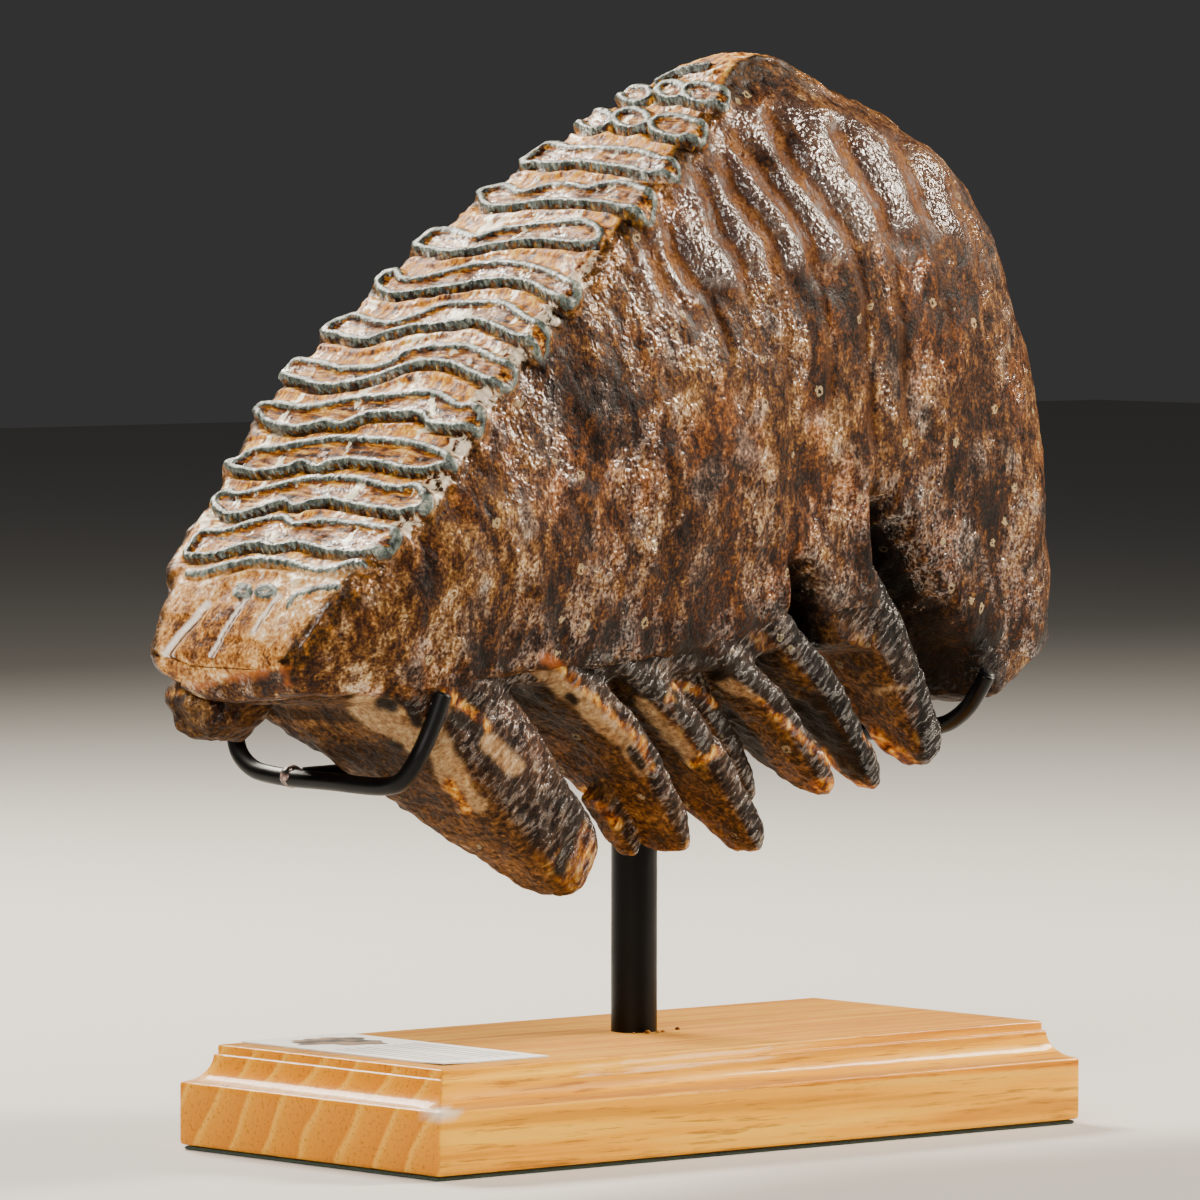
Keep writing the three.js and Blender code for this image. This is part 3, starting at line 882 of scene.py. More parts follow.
@dataclass
class DisplayStand:
    """The wooden base with its felt, card, post, bar and bent wires.

    The edge gives the base's outline from the bottom up, as inset and height.
    """
    length: float = 220.0
    width: float = 103.0
    top: float = 27.0
    felt_inset: float = 0.6
    post_diameter: float = 12.0
    post_centre: tuple[float, float] = (2.5, 3.4)
    bar_diameter: float = 5.0
    bar_heights: tuple[float, float] = (97.8, 101.8)
    wire_diameter: float = 4.6
    front_x: float = -112.0
    rear_x: float = 101.0
    card_size: Triple = (35.0, 80.0, 0.5)
    card_centre: tuple[float, float] = (-78.0, 4.0)
    edge: Line = (
        (0.5, 1.3), (0.1, 1.7), (0.0, 2.4), (0.0, 16.6), (0.1, 17.1), (0.5, 17.4), (1.3, 17.6),
        (2.2, 17.95), (3.2, 18.5), (4.1, 19.3), (4.9, 20.3), (5.5, 21.4), (5.9, 22.6), (6.1, 23.6),
        (6.2, 24.2), (6.4, 24.5), (6.9, 24.6), (7.0, 24.8), (7.0, 26.4), (7.1, 26.8), (7.5, 27.0))
    front_wire: tuple[Triple, ...] = (
        (-104.2, -46.5, 121.2), (-107.2, -45, 112), (-110.4, -43, 104), (-111.8, -39.5, 99.2),
        (-112, -34, 97.6), (-112, -12, 97.6), (-112, 10, 98), (-112, 19, 99.4), (-111.5, 25, 103),
        (-110, 29, 109), (-108.5, 32, 115))
    rear_wire: tuple[Triple, ...] = (
        (102, -24.5, 118), (102, -21, 113), (102, -16.5, 108), (101.5, -9, 103.5), (101, 3, 102),
        (101, 14, 103.5), (101.5, 22, 108), (102, 27, 113), (102, 30, 118))

    def build(self) -> None:
        """Builds every piece of the stand."""
        self.build_base()
        self.build_felt()
        self.build_card()
        self.steel = PaintedSteel().build()
        self.build_post()
        self.build_bar()
        self.build_wires()
        self.build_welds()
        self.build_crumbs()

    def plan(self, inset: float, radius: float, step: float = 4.0) -> Points:
        """The base's plan.

        Args:
            inset: How far it lies in from the base's sides.
            radius: Radius of its corners.
            step: Space between the points along the sides.

        Returns:
            Points (n, 2) round it.
        """
        hx, hy = self.length / 2 - inset - radius, self.width / 2 - inset - radius
        arcs = []
        for sx, sy in ((1, -1), (1, 1), (-1, 1), (-1, -1)):
            turns = math.atan2(sy, sx) - math.pi / 4 + np.arange(5) * math.pi / 8
            arcs.append(np.column_stack([sx * hx + radius * np.cos(turns), sy * hy + radius * np.sin(turns)]))
        out = []
        for k, arc in enumerate(arcs):
            count = round((self.length if k % 2 else self.width) / step)
            side = np.linspace(arc[-1], arcs[(k + 1) % 4][0], count + 1)[1:-1]
            out += [arc, side]
        return np.concatenate(out)

    def build_base(self) -> None:
        """The wooden base: an upright side, a cove and a flat top, with one front corner chipped."""
        rows = []
        for inset, z in self.edge:
            plan = self.plan(inset, max(0.9 - 0.05 * inset, 0.4))
            rows.append(np.column_stack([plan, np.full(len(plan), z)]))
        fine = []
        for low, high in zip(rows[:-1], rows[1:]):
            parts = 6 if high[0, 2] - low[0, 2] > 5 else 1
            fine += [low + (high - low) * k / parts for k in range(parts)]
        rows = np.array(fine + [rows[-1]])
        points = rows.reshape(-1, 3)
        corner, chip_size = (-self.length / 2, -self.width / 2, 17.0), (9.0, 6.5, 2.6)
        from_chip = np.linalg.norm((points - corner) / chip_size, axis=1)
        bite = smooth_step(from_chip + 0.35 * noise(points, 3.0, 5), 1.0, 0.5)
        inward = np.array([0.75, 0.5, -0.1])
        points = points + bite[:, None] * inward * 1.6
        points += 0.05 * noise(points, 6.0, 8)[:, None] * (1, 1, 0)
        make_piece("carved_base", points, tube_faces(len(rows), rows.shape[1]), VarnishedHardwood().build(),
                   ("wood_base",), {"chip": bite * 0.8})

    def build_felt(self) -> None:
        """The felt sheet under the base, with an edge that wanders a little."""
        plan = self.plan(self.felt_inset, 0.8, 1.5)
        flat = np.column_stack([plan, np.zeros(len(plan))])
        rows = []
        for shrink, z in ((0.9, 0.0), (0.3, 0.12), (0.15, 0.5), (0.3, 0.85), (0.8, 1.0)):
            inward = shrink + 0.25 * np.abs(noise(flat + z * 3, 2.5, 11))
            size = np.column_stack([1 - inward / 110, 1 - inward / 52])
            rows.append(np.column_stack([plan * size, np.full(len(plan), z)]))
        make_piece("felt_sheet", np.concatenate(rows), tube_faces(len(rows), len(plan)),
                   PressedFelt().build(), ("felt_pad",))

    def build_card(self) -> None:
        """The card on the base's top, with a plain tinted patch at one end and ruled lines."""
        nx, ny = 71, 161
        x = np.linspace(-0.5, 0.5, nx) * self.card_size[0]
        y = np.linspace(-0.5, 0.5, ny) * self.card_size[1]
        gx, gy = np.meshgrid(x, y, indexing="ij")
        # one corner has lifted off the wood
        low, thick = self.top + 0.05, 0.25
        lift = 0.35 * smooth_step(np.hypot(gx - x[0], gy - y[0]), 12, 0) + 0.05
        upper, lower = (np.stack([gx + self.card_centre[0], gy + self.card_centre[1], z], -1)
                        for z in (low + thick + lift, low + lift * 0.8))
        points = np.concatenate([upper.reshape(-1, 3), lower.reshape(-1, 3)])
        faces = grid_faces(nx, ny, closed=False)
        faces += [tuple(reversed(f)) for f in grid_faces(nx, ny, closed=False, start=nx * ny)]
        rim = ([i * ny for i in range(nx)] + [(nx - 1) * ny + j for j in range(1, ny)]
               + [i * ny + ny - 1 for i in range(nx - 2, -1, -1)] + [j for j in range(ny - 2, 0, -1)])
        faces += [(a, a + nx * ny, b + nx * ny, b) for a, b in zip(rim, rim[1:] + rim[:1])]
        across, along = gx.ravel(), gy.ravel()
        line = np.abs(((across + 40.0) / 3.2) % 1 - 0.5) < 0.13
        ruled = line & (along < 8) & (along > -34) & (np.abs(across) < 14)
        ragged = 0.4 * noise(upper.reshape(-1, 3), 9, 3)
        patch = smooth_step(np.hypot((along - 24) / 13, across / 13) + ragged, 1.0, 0.9)
        under = np.zeros(nx * ny)
        make_piece("printed_card", points, faces, PrintedCard().build(), ("label_card",),
                   {"ink": np.concatenate([ruled, under]), "patch": np.concatenate([patch, under])})

    def build_post(self) -> None:
        """The round post, from inside the base up to the bar."""
        radius = self.post_diameter / 2
        head = sum(self.bar_heights) / 2
        profile = [(0.6, 12.0), (1.0, 12.2), (1.0, 27.3), (1.0, 40.0), (1.0, 60.0), (1.0, 80.0),
                   (1.0, head - 1.0), (0.97, head - 0.4), (0.85, head)]
        turns = np.linspace(0, 2 * math.pi, 72, endpoint=False)
        rows = [np.column_stack([self.post_centre[0] + radius * s * np.cos(turns),
                                 self.post_centre[1] + radius * s * np.sin(turns), np.full(len(turns), z)])
                for s, z in profile]
        points = np.concatenate(rows)
        points[:, :2] += 0.04 * noise(points, 12, 9)[:, None]
        make_piece("steel_post", points, tube_faces(len(rows), len(turns)), self.steel, ("post",))

    def build_bar(self) -> None:
        """The bar that joins the two wires, over the post."""
        inner = self.wire_diameter / 2
        ends = [(self.front_x + inner, self.post_centre[1], self.bar_heights[0]),
                (self.rear_x - inner, self.post_centre[1], self.bar_heights[1])]
        path = np.linspace(ends[0], ends[1], 60)
        path[:, 2] += 0.12 * np.sin(np.linspace(0, math.pi, 60))
        points, faces = rod(path, self.bar_diameter)
        make_piece("joining_bar", points, faces, self.steel, ("cradle_bar",))

    def build_wires(self) -> None:
        """The two bent wires that hold the tooth."""
        for name, line, node in (("front_wire", self.front_wire, "front_cradle_wire"),
                                 ("rear_wire", self.rear_wire, "rear_cradle_wire")):
            points, faces = rod(catmull_rom(list(line), 9), self.wire_diameter)
            make_piece(name, points, faces, self.steel, (node,))

    def build_welds(self) -> None:
        """Weld beads where the bar meets the wires and the post."""
        x, y = self.post_centre
        front_z, rear_z = self.bar_heights
        for name, centre, size, material, seed in (
                ("front_weld", (self.front_x + 0.4, y + 0.4, front_z + 0.2), (2.9, 3.4, 2.7),
                 WeldWithPaintedHighlight().build(), 41),
                ("rear_weld", (self.rear_x - 1.2, y, rear_z), (2.6, 3.6, 2.7), self.steel, 40),
                ("post_weld", (x, y, 97.4), (6.9, 5.6, 3.2), self.steel, 40)):
            points, faces = lump(centre, size, 0.16, 2.0, seed)
            make_piece(name, points, faces, material)

    def build_crumbs(self) -> None:
        """Small crumbs of the tooth that have fallen round the post's foot."""
        points, faces = [], []
        fallen = ((-2.0, -7.6, 0.9), (0.8, -8.4, 0.6), (3.4, -7.4, 0.5), (11.0, -4.6, 0.7), (-5.6, -6.4, 0.4))
        for k, (dx, dy, size) in enumerate(fallen):
            centre = (self.post_centre[0] + dx, self.post_centre[1] + dy, self.top + size * 0.45)
            p, f = lump(centre, (size, size * 0.8, size * 0.6), 0.3, 0.7, 50 + k, 10)
            faces += [tuple(v + len(points) for v in face) for face in f]
            points += p.tolist()
        make_piece("fallen_crumbs", np.array(points), faces, PolishedRootDentine().build(), (),
                   {name: np.full(len(points), value) for name, value in
                    (("root", 0.5), ("brown", 0.6), ("cream", 0.3), ("amber", 0.5))})


def lump(centre: Triple, size: Triple, rough: float, grain: float,
         seed: int, bands: int = 24) -> Solid:
    """A rounded uneven lump.

    Args:
        centre: Its middle.
        size: Its half sizes along the axes.
        rough: How far its surface wanders, in shares of its size.
        grain: Size of its unevenness.
        seed: Number that picks its pattern.
        bands: How many rings it has.

    Returns:
        Vertices and faces of the closed lump.
    """
    polar = np.linspace(0, math.pi, bands + 1)[1:-1]
    turn = np.arange(bands * 2) * math.pi / bands
    p, t = np.meshgrid(polar, turn, indexing="ij")
    ball = np.stack([np.sin(p) * np.cos(t), np.sin(p) * np.sin(t), np.cos(p)], -1).reshape(-1, 3)
    ball = np.concatenate([[[0, 0, 1]], ball, [[0, 0, -1]]])
    points = ball * np.array(size) + np.array(centre)
    points = points + ball * np.array(size) * rough * noise(points, grain, seed)[:, None]
    count = bands * 2
    faces = [(0, 1 + k, 1 + (k + 1) % count) for k in range(count)]
    faces += grid_faces(bands - 1, count, start=1)
    faces = [tuple(reversed(f)) if len(f) == 4 else f for f in faces]
    last = len(points) - 1
    faces += [(last, last - count + (k + 1) % count, last - count + k) for k in range(count)]
    return points, faces


# tooth

@dataclass(frozen=True)
class Station:
    """A line (x, z) down one plate, from the chewing surface to the crown's foot, and its half widths."""
    plate: float
    line: Line
    half: tuple[float, ...]


class RootRow(Enum):
    """Which side of the tooth a root hangs on."""
    CHEEK = "cheek"
    TONGUE = "tongue"


@dataclass(frozen=True)
class Root:
    """A flattened root: at its top, middle and tip, its line (x, z), its edges in y and its thickness."""
    row: RootRow
    line: Line
    outer: tuple[float, ...]
    inner: tuple[float, ...]
    thick: tuple[float, ...]

    def along(self, shares: Points) -> tuple[Points, Points, Points, Points, Points]:
        """The root's measures at shares of its length.

        Args:
            shares: Rising numbers from 0 at the crown to 1 at the tip.

        Returns:
            Its middle line, the direction it runs in, its outer and inner edges and its half thickness.
        """
        measures = np.column_stack([self.line, self.outer, self.inner, self.thick])
        read = smooth_curve([0, 0.5, 1], measures, shares)
        ahead = np.gradient(read[:, :2], axis=0)
        ahead /= np.linalg.norm(ahead, axis=1, keepdims=True)
        return read[:, :2], ahead, read[:, 2], read[:, 3], read[:, 4] / 2


@dataclass(frozen=True)
class Crop:
    """A part of the photograph that lines were read in: its corner in pixels, and its enlargement."""
    left: float
    top: float
    zoom: float

    def pixels(self, points: Line) -> Points:
        """Photograph pixels of points read in the enlarged crop."""
        return np.asarray(points, float) / self.zoom + (self.left, self.top)


UPPER_CROP = Crop(480, 40, 7)
MIDDLE_CROP = Crop(270, 190, 6)
LOWER_CROP = Crop(150, 390, 5.5)


@dataclass(frozen=True)
class EnamelLine:
    """One line of enamel on the chewing surface, as pixels read in a crop of the photograph.

    A loop has an upper and a lower line, read from the tongue side to the cheek side; an open line has only
    an upper one.
    """
    crop: Crop
    upper: Line
    lower: Line = ()

    def pixels(self) -> Points:
        """Photograph pixels round the loop, or along the open line."""
        return self.crop.pixels(self.upper + self.lower[::-1])


def ring_of_enamel(crop: Crop, left: float, top: float, right: float, bottom: float) -> EnamelLine:
    """A small worn ring of enamel.

    Args:
        crop: The crop that it was read in.
        left: Left edge of the box of crop pixels that it fills.
        top: Top edge of the box.
        right: Right edge of the box.
        bottom: Bottom edge of the box.

    Returns:
        The ring.
    """
    cx, cy, rx, ry = (left + right) / 2, (top + bottom) / 2, (right - left) / 2, (bottom - top) / 2
    turns = [k * math.pi / 5 for k in range(10)]
    around = tuple((cx + rx * math.cos(turn), cy + ry * math.sin(turn)) for turn in turns)
    return EnamelLine(crop, around[:9], around[9:])


@dataclass
class MolarForm:
    """The tooth's shape in plate coordinates, the same as in the CAD part.

    A hollow between the last roots is given by its left and right edges (x, z) and its depth. The furrows and
    the field of the ribs are lines of photograph pixels. The heel's cut starts at x and z and has a slope.
    """
    turn: float = 5.0
    last_plate: float = 18.0
    rib_height: float = 1.9
    knots: tuple[float, ...] = (0, 0.26, 0.6, 1)
    stations: tuple[Station, ...] = (
        Station(-1.2, ((-149, 129), (-149, 127), (-148, 125), (-146, 121)), (24, 24, 23, 20)),
        Station(0, ((-143, 140), (-138, 134), (-133, 128), (-127, 120)), (30, 33, 32, 29)),
        Station(1, ((-135, 151), (-130, 142), (-121, 131), (-108, 119)), (35, 39, 38, 35)),
        Station(3, ((-115, 168), (-108, 157), (-98, 142), (-82, 122)), (38.5, 44, 42, 37)),
        Station(6, ((-88, 198), (-73, 176), (-56, 150), (-35, 122)), (37.5, 44, 44, 38)),
        Station(9, ((-44, 231), (-32, 205), (-17, 169), (-2, 124)), (33, 43.5, 45, 38)),
        Station(12, ((1, 260), (9, 235), (20, 194), (31, 128)), (21, 37, 43, 38)),
        Station(14, ((35, 278), (45, 251), (55, 206), (61, 124)), (9, 32, 41, 38)),
        Station(16, ((66, 271), (89, 247), (99, 198), (101, 112)), (9, 27, 36, 34)),
        Station(17.2, ((91, 262), (113, 237), (126, 186), (132, 109)), (7, 20, 29, 30)),
        Station(18, ((103, 253), (124, 224), (137, 180), (146, 121)), (6, 15, 20, 22)))
    hollows: tuple[tuple[Line, Line, float], ...] = (
        (((44, 168), (46, 152), (52, 140), (66, 124), (78, 90)),
         ((48, 168), (62, 157), (79, 139), (91, 126), (101, 117), (101, 90)), 30.0),
        (((13, 152), (15, 146), (18, 132), (27, 118), (44, 98)),
         ((16, 152), (27, 147), (36, 132), (53, 108), (56, 98)), 24.0))
    furrows: tuple[Line, ...] = (
        ((653, 250), (660, 275), (672, 300)), ((667, 228), (674, 255), (690, 280), (712, 300), (730, 350)),
        ((700, 176), (712, 205), (722, 235), (742, 268), (752, 310)),
        ((722, 158), (735, 190), (752, 216), (768, 238), (778, 275), (786, 330), (790, 400)),
        ((733, 134), (762, 172), (790, 212), (808, 240), (820, 290), (828, 340), (832, 420)),
        ((770, 116), (797, 168), (822, 200), (847, 231), (857, 262), (866, 300), (868, 360), (874, 450)),
        ((833, 128), (855, 165), (878, 203), (890, 240), (897, 285), (904, 350), (905, 430)),
        ((898, 140), (920, 192), (932, 230), (941, 275), (950, 340)), ((955, 185), (975, 235), (988, 285)))
    rib_field: Line = (
        (632, 268), (668, 212), (705, 158), (724, 120), (745, 106), (790, 104), (845, 118), (905, 138),
        (940, 165), (962, 205), (968, 232), (945, 236), (918, 222), (892, 240), (868, 236), (845, 262),
        (800, 268), (745, 286), (695, 290), (650, 300))
    heel_cut: Triple = (106.0, 111.0, 0.5)
    roots: tuple[Root, ...] = (
        Root(RootRow.CHEEK, ((-105, 126), (-78, 99), (-46, 71)), (-37, -37, -31), (30, 2, -16), (36, 30, 20)),
        Root(RootRow.CHEEK, ((-117, 128), (-100, 115), (-80, 98)), (-36, -36, -34), (28, 12, -2),
             (22, 24, 18)),
        Root(RootRow.CHEEK, ((-33, 92), (-24, 82), (-17, 75)), (-22, -20, -18), (-13, -12, -12), (7, 6, 4)),
        Root(RootRow.CHEEK, ((-72, 132), (-38, 107), (-9, 76)), (-38, -37, -31), (6, 2, -14), (13, 12, 7)),
        Root(RootRow.CHEEK, ((-52, 134), (-15, 108), (17, 75)), (-38, -37, -32), (0, -8, -20), (13, 12, 9)),
        Root(RootRow.CHEEK, ((-30, 132), (-3, 112), (22, 87)), (-34, -31, -24), (0, -6, -12), (10, 9, 7)),
        Root(RootRow.CHEEK, ((-17, 134), (14, 114), (43, 89)), (-38, -37, -32), (0, -7, -21), (11, 10, 8)),
        Root(RootRow.CHEEK, ((2, 142), (33, 119), (62, 89)), (-38, -37, -31), (0, -7, -23), (13, 11, 8)),
        Root(RootRow.CHEEK, ((36, 158), (60, 127), (84, 95)), (-38, -37, -31), (-2, -6, -18), (18, 16, 12)),
        Root(RootRow.TONGUE, ((-70, 132), (-46, 115), (-24, 99)), (37, 36, 31), (6, 9, 14), (13, 12, 8)),
        Root(RootRow.TONGUE, ((-46, 132), (-22, 114), (-2, 98)), (37, 36, 31), (6, 9, 14), (13, 12, 8)),
        Root(RootRow.TONGUE, ((-22, 132), (1, 115), (22, 98)), (37, 36, 31), (6, 9, 14), (12, 11, 8)),
        Root(RootRow.TONGUE, ((2, 134), (26, 116), (46, 99)), (37, 36, 30), (6, 9, 14), (13, 12, 9)),
        Root(RootRow.TONGUE, ((32, 138), (54, 119), (74, 101)), (37, 35, 29), (6, 9, 14), (17, 15, 11)))

    def table(self) -> Points:
        """The stations' numbers: plate, knot, then x, z and half width."""
        return np.array([[(*p, h) for p, h in zip(s.line, s.half)] for s in self.stations], float)

    def rounding(self, plates: Points) -> Points:
        """The share of the half width that is left as the back end rounds off."""
        past = np.clip((plates - 16.6) / (self.last_plate - 16.6), 0, 1)
        return np.sqrt(1 - past ** 2)

    def lines(self, plates: Points) -> Points:
        """The plates' lines down the sides.

        Args:
            plates: Which plates (n,).

        Returns:
            x, z and half width at the four knots of each line (n, 4, 3).
        """
        out = smooth_curve([s.plate for s in self.stations], self.table(), plates)
        out[..., 2] *= self.rounding(plates)[:, None]
        return out

    def side(self, plates: Points, down: Points) -> Points:
        """x, z and half width at shares down the plates' lines (plates, down, 3)."""
        return smooth_curve(list(self.knots), self.lines(plates).transpose(1, 0, 2), down).transpose(1, 0, 2)

    def top(self, plates: Points) -> Points:
        """The chewing surface's line.

        Args:
            plates: Places along it, of any shape.

        Returns:
            x and z there.
        """
        numbers = [s.plate for s in self.stations]
        out = smooth_curve(numbers, self.table()[:, 0, :2], np.clip(plates, numbers[0], numbers[-1]).ravel())
        return out.reshape(*plates.shape, 2)

    def raised(self, place: Points, y: Points, rise: Points | float) -> Points:
        """Points that stand off places (x, z) of the chewing surface by a rise, about square to its slope."""
        return np.stack([place[..., 0] - 0.66 * rise, y, place[..., 1] + 0.75 * rise], -1)

    def swing(self, plates: Points, across: Points) -> Points:
        """How far the plates swing from side to side, in shares of a plate."""
        return -0.22 * np.sin(2.7 * across + 0.25) * (1 - across ** 4) * (0.55 + 0.45 * np.sin(plates / 3))

    def rib(self, plates: Points, down: Points) -> Points:
        """The ribs on the tongue side: broad backs with narrow furrows between them.

        Args:
            plates: Which plate each place is at.
            down: Its share of the way down the side.

        Returns:
            The ribs' height there.
        """
        strong = smooth_step(plates, 6, 10) * smooth_step(down, 0.02, 0.1)
        strong = strong * (1 - smooth_step(down, 0.3, 0.65))
        fade = 1 - smooth_step(plates, 16.8, 17.6)
        wave = 2 * np.abs(np.cos(math.pi * plates)) ** 0.7 - 1
        return self.rib_height * (0.2 + 0.8 * strong) * fade * wave

    def traced_ribs(self, pixels: Points) -> tuple[Points, Points, Points, Points]:
        """The ribs on the cheek side, from their furrows in the photograph.

        Args:
            pixels: Where each place lies in the photograph.

        Returns:
            The ribs' height, and from 0 to 1 how far each place lies on a glossy rib, in a thin dark furrow
            and in the ribs' field.
        """
        gap = np.full(pixels.shape[:-1], 99.0)
        for line in self.furrows:
            gap = np.minimum(gap, polygon_distance(pixels, np.array(line, float), closed=False))
        inside = -polygon_distance(pixels, np.array(self.rib_field, float))
        field = smooth_step(inside, -14, 10)
        backs = smooth_step(gap, 2, 17) - 0.55
        height = self.rib_height * (field * backs - 0.35 * (1 - field) * smooth_step(gap, 7, 1))
        glossy = smooth_step(gap, 4, 9) * smooth_step(inside, -7, 7)
        return height, glossy, smooth_step(gap, 5, 1) * (1 - field), field

    def hollow_depth(self, x: Points, z: Points) -> Points:
        """The hollows between the last roots.

        Args:
            x: Places along the tooth.
            z: Their heights.

        Returns:
            How far in from the cheek side the hollows reach there.
        """
        deepest = np.zeros_like(x)
        for left, right, depth in self.hollows:
            low, high = (np.interp(z, *np.array(line[::-1], float).T[::-1]) for line in (left, right))
            inward = np.minimum(x - low, high - x) * smooth_step(z, left[0][1], left[0][1] - 8)
            slope = 1.15 - 0.7 * np.clip((x - low) / np.maximum(high - low, 1), 0, 1)
            deepest = np.maximum(deepest, depth * slope * (1 - np.exp(-np.clip(inward, 0, None) / 4.0)))
        return deepest

    def trim_heel(self, points: Points) -> Points:
        """Raises the heel off the slope at the tooth's back lower end.

        Args:
            points: Points (..., 3) of the tooth's frame.

        Returns:
            The same points, those below the slope lifted softly onto it.
        """
        x0, z0, rise = self.heel_cut
        softness = 1.5
        floor = z0 + rise * (points[..., 0] - x0) - 60 * smooth_step(points[..., 0], x0 + 1, x0 - 6)
        raised = softness * np.logaddexp(0, (floor - points[..., 2]) / softness)
        return points + raised[..., None] * (-0.2, 0.0, 1.0)

    def in_stand(self, points: Points) -> Points:
        """Points of the tooth's frame in the stand's frame."""
        return turned(points, self.turn)


def polygon_distance(points: Points, corners: Points, closed: bool = True) -> Points:
    """Distance of flat points from the outline of a polygon or from a line.

    Args:
        points: Flat points (..., 2).
        corners: The polygon's corners, or the points along the line.
        closed: Whether it is a polygon.

    Returns:
        One distance for each point, negative inside a polygon.
    """
    flat = points.reshape(-1, 2)
    tiny = 1e-12
    best = np.full(len(flat), np.inf)
    inside = np.zeros(len(flat), bool)
    ends = np.roll(corners, -1, axis=0) if closed else corners[1:]
    for a, b in zip(corners, ends):
        ab = b - a
        t = np.clip((flat - a) @ ab / max(ab @ ab, tiny), 0, 1)
        best = np.minimum(best, np.linalg.norm(flat - a - t[:, None] * ab, axis=1))
        if closed:
            crosses = (a[1] > flat[:, 1]) != (b[1] > flat[:, 1])
            at = a[0] + (flat[:, 1] - a[1]) / (ab[1] if abs(ab[1]) > tiny else tiny) * ab[0]
            inside ^= crosses & (flat[:, 0] < at)
    return np.where(inside, -best, best).reshape(points.shape[:-1])


class Tint(Enum):
    """What shows where the tooth's dark skin is stained or gone."""
    CREAM = "cream"
    AMBER = "amber"
    SLATE = "slate"
    BROWN = "brown"
    PALE = "pale"
    DEEP = "deep"


@dataclass(frozen=True)
class Stain:
    """A stain along a line of photograph pixels: its half width and half the width of its edge, in pixels."""
    half: float
    line: Line
    edge: float = 2.8


@dataclass(frozen=True)
class ToothStains:
    """Where the tooth is stained on the side that the camera sees. The other side has none of its own."""
    form: MolarForm
    camera: StudioCamera
    ragged: float = 2.6
    stains: tuple[tuple[Tint, tuple[Stain, ...]], ...] = (
        (Tint.PALE, (
            Stain(42, ((330, 690), (400, 640), (450, 585), (500, 520)), 30),
            Stain(34, ((690, 400), (760, 430), (850, 440)), 26))),
        (Tint.DEEP, (
            Stain(30, ((548, 380), (610, 400), (640, 440)), 22),
            Stain(26, ((480, 690), (570, 645), (660, 640), (780, 620)), 20),
            Stain(60, ((960, 520), (985, 590), (1010, 660)), 40),
            Stain(40, ((880, 560), (900, 640), (930, 720)), 24))),
        (Tint.BROWN, (
            Stain(30, ((272, 722), (330, 742), (400, 775))),
            Stain(10, ((400, 798), (461, 828), (502, 860), (552, 890))))),
        (Tint.CREAM, (
            Stain(17, ((366, 706), (396, 722), (420, 738))),
            Stain(10, ((490, 744), (504, 758), (514, 766))),
            Stain(13, ((436, 740), (448, 766), (458, 784))),
            Stain(7, ((462, 790), (472, 800), (478, 806))),
            Stain(10, ((541, 666), (565, 688), (600, 719), (630, 746), (643, 768))),
            Stain(7, ((642, 704), (664, 726), (688, 756))), Stain(5, ((760, 794), (766, 804))),
            Stain(6, ((724, 684), (742, 692), (758, 702))), Stain(2, ((876, 692), (908, 688))),
            Stain(3, ((505, 598), (508, 604))))),
        (Tint.SLATE, (
            Stain(8, ((380, 704), (392, 708))), Stain(7, ((409, 706), (416, 722))),
            Stain(4, ((391, 744), (398, 749))), Stain(6, ((452, 718), (478, 730))),
            Stain(6, ((580, 812), (570, 846), (559, 872))), Stain(4, ((569, 699), (574, 703))),
            Stain(6, ((632, 752), (642, 768))), Stain(14, ((592, 664), (625, 672), (655, 690))),
            Stain(8, ((678, 708), (706, 748))), Stain(12, ((724, 718), (750, 750), (770, 782))),
            Stain(9, ((686, 650), (722, 672))), Stain(9, ((728, 660), (770, 690), (830, 736), (880, 776))))),
        (Tint.AMBER, (
            Stain(4, ((446, 694), (468, 708), (488, 728))), Stain(4, ((448, 784), (466, 812))),
            Stain(4, ((594, 842), (585, 860))), Stain(5, ((546, 658), (562, 668), (577, 682))),
            Stain(3, ((584, 690), (610, 712), (640, 740), (655, 770))),
            Stain(5, ((692, 846), (697, 850))), Stain(4, ((585, 792), (602, 808), (618, 824))),
            Stain(4, ((662, 690), (684, 718), (702, 756))),
            Stain(4, ((692, 764), (706, 760), (718, 752))),
            Stain(3, ((676, 685), (700, 691), (716, 706))),
            Stain(4, ((758, 701), (790, 726), (818, 752), (836, 770))),
            Stain(6, ((815, 788), (838, 784))), Stain(5, ((842, 782), (862, 790), (880, 794))),
            Stain(6, ((872, 736), (896, 756), (920, 774))),
            Stain(5, ((972, 706), (1010, 698), (1044, 684))),
            Stain(2, ((163, 694), (190, 690), (215, 681), (240, 676), (262, 672), (290, 668))),
            Stain(4, ((282, 668), (288, 684))))))

    def read(self, points: Points, normals: Points) -> dict[str, Points]:
        """How strongly each tint lies at each place.

        Args:
            points: Places (n, 3) in the tooth's frame.
            normals: The outward directions there.

        Returns:
            For each tint's name, numbers from 0 to 1.
        """
        pixels = self.camera.see(self.form.in_stand(points))
        seen = smooth_step(self.form.in_stand(normals) @ self.camera.axes()[2], 0.02, 0.25)
        ragged = self.ragged * noise(points, 7.0, 71, 4)
        out = {tint.value: np.zeros(len(points)) for tint in Tint}
        for tint, stains in self.stains:
            tinted = out[tint.value]
            for stain in stains:
                line = np.array(stain.line, float)
                wide = stain.half + stain.edge + 6
                near = ((pixels > line.min(0) - wide) & (pixels < line.max(0) + wide)).all(1)
                gap = polygon_distance(pixels[near], line, closed=False) + ragged[near]
                share = smooth_step(gap, stain.half + stain.edge, stain.half - stain.edge) * seen[near]
                tinted[near] = np.maximum(tinted[near], share)
        return out


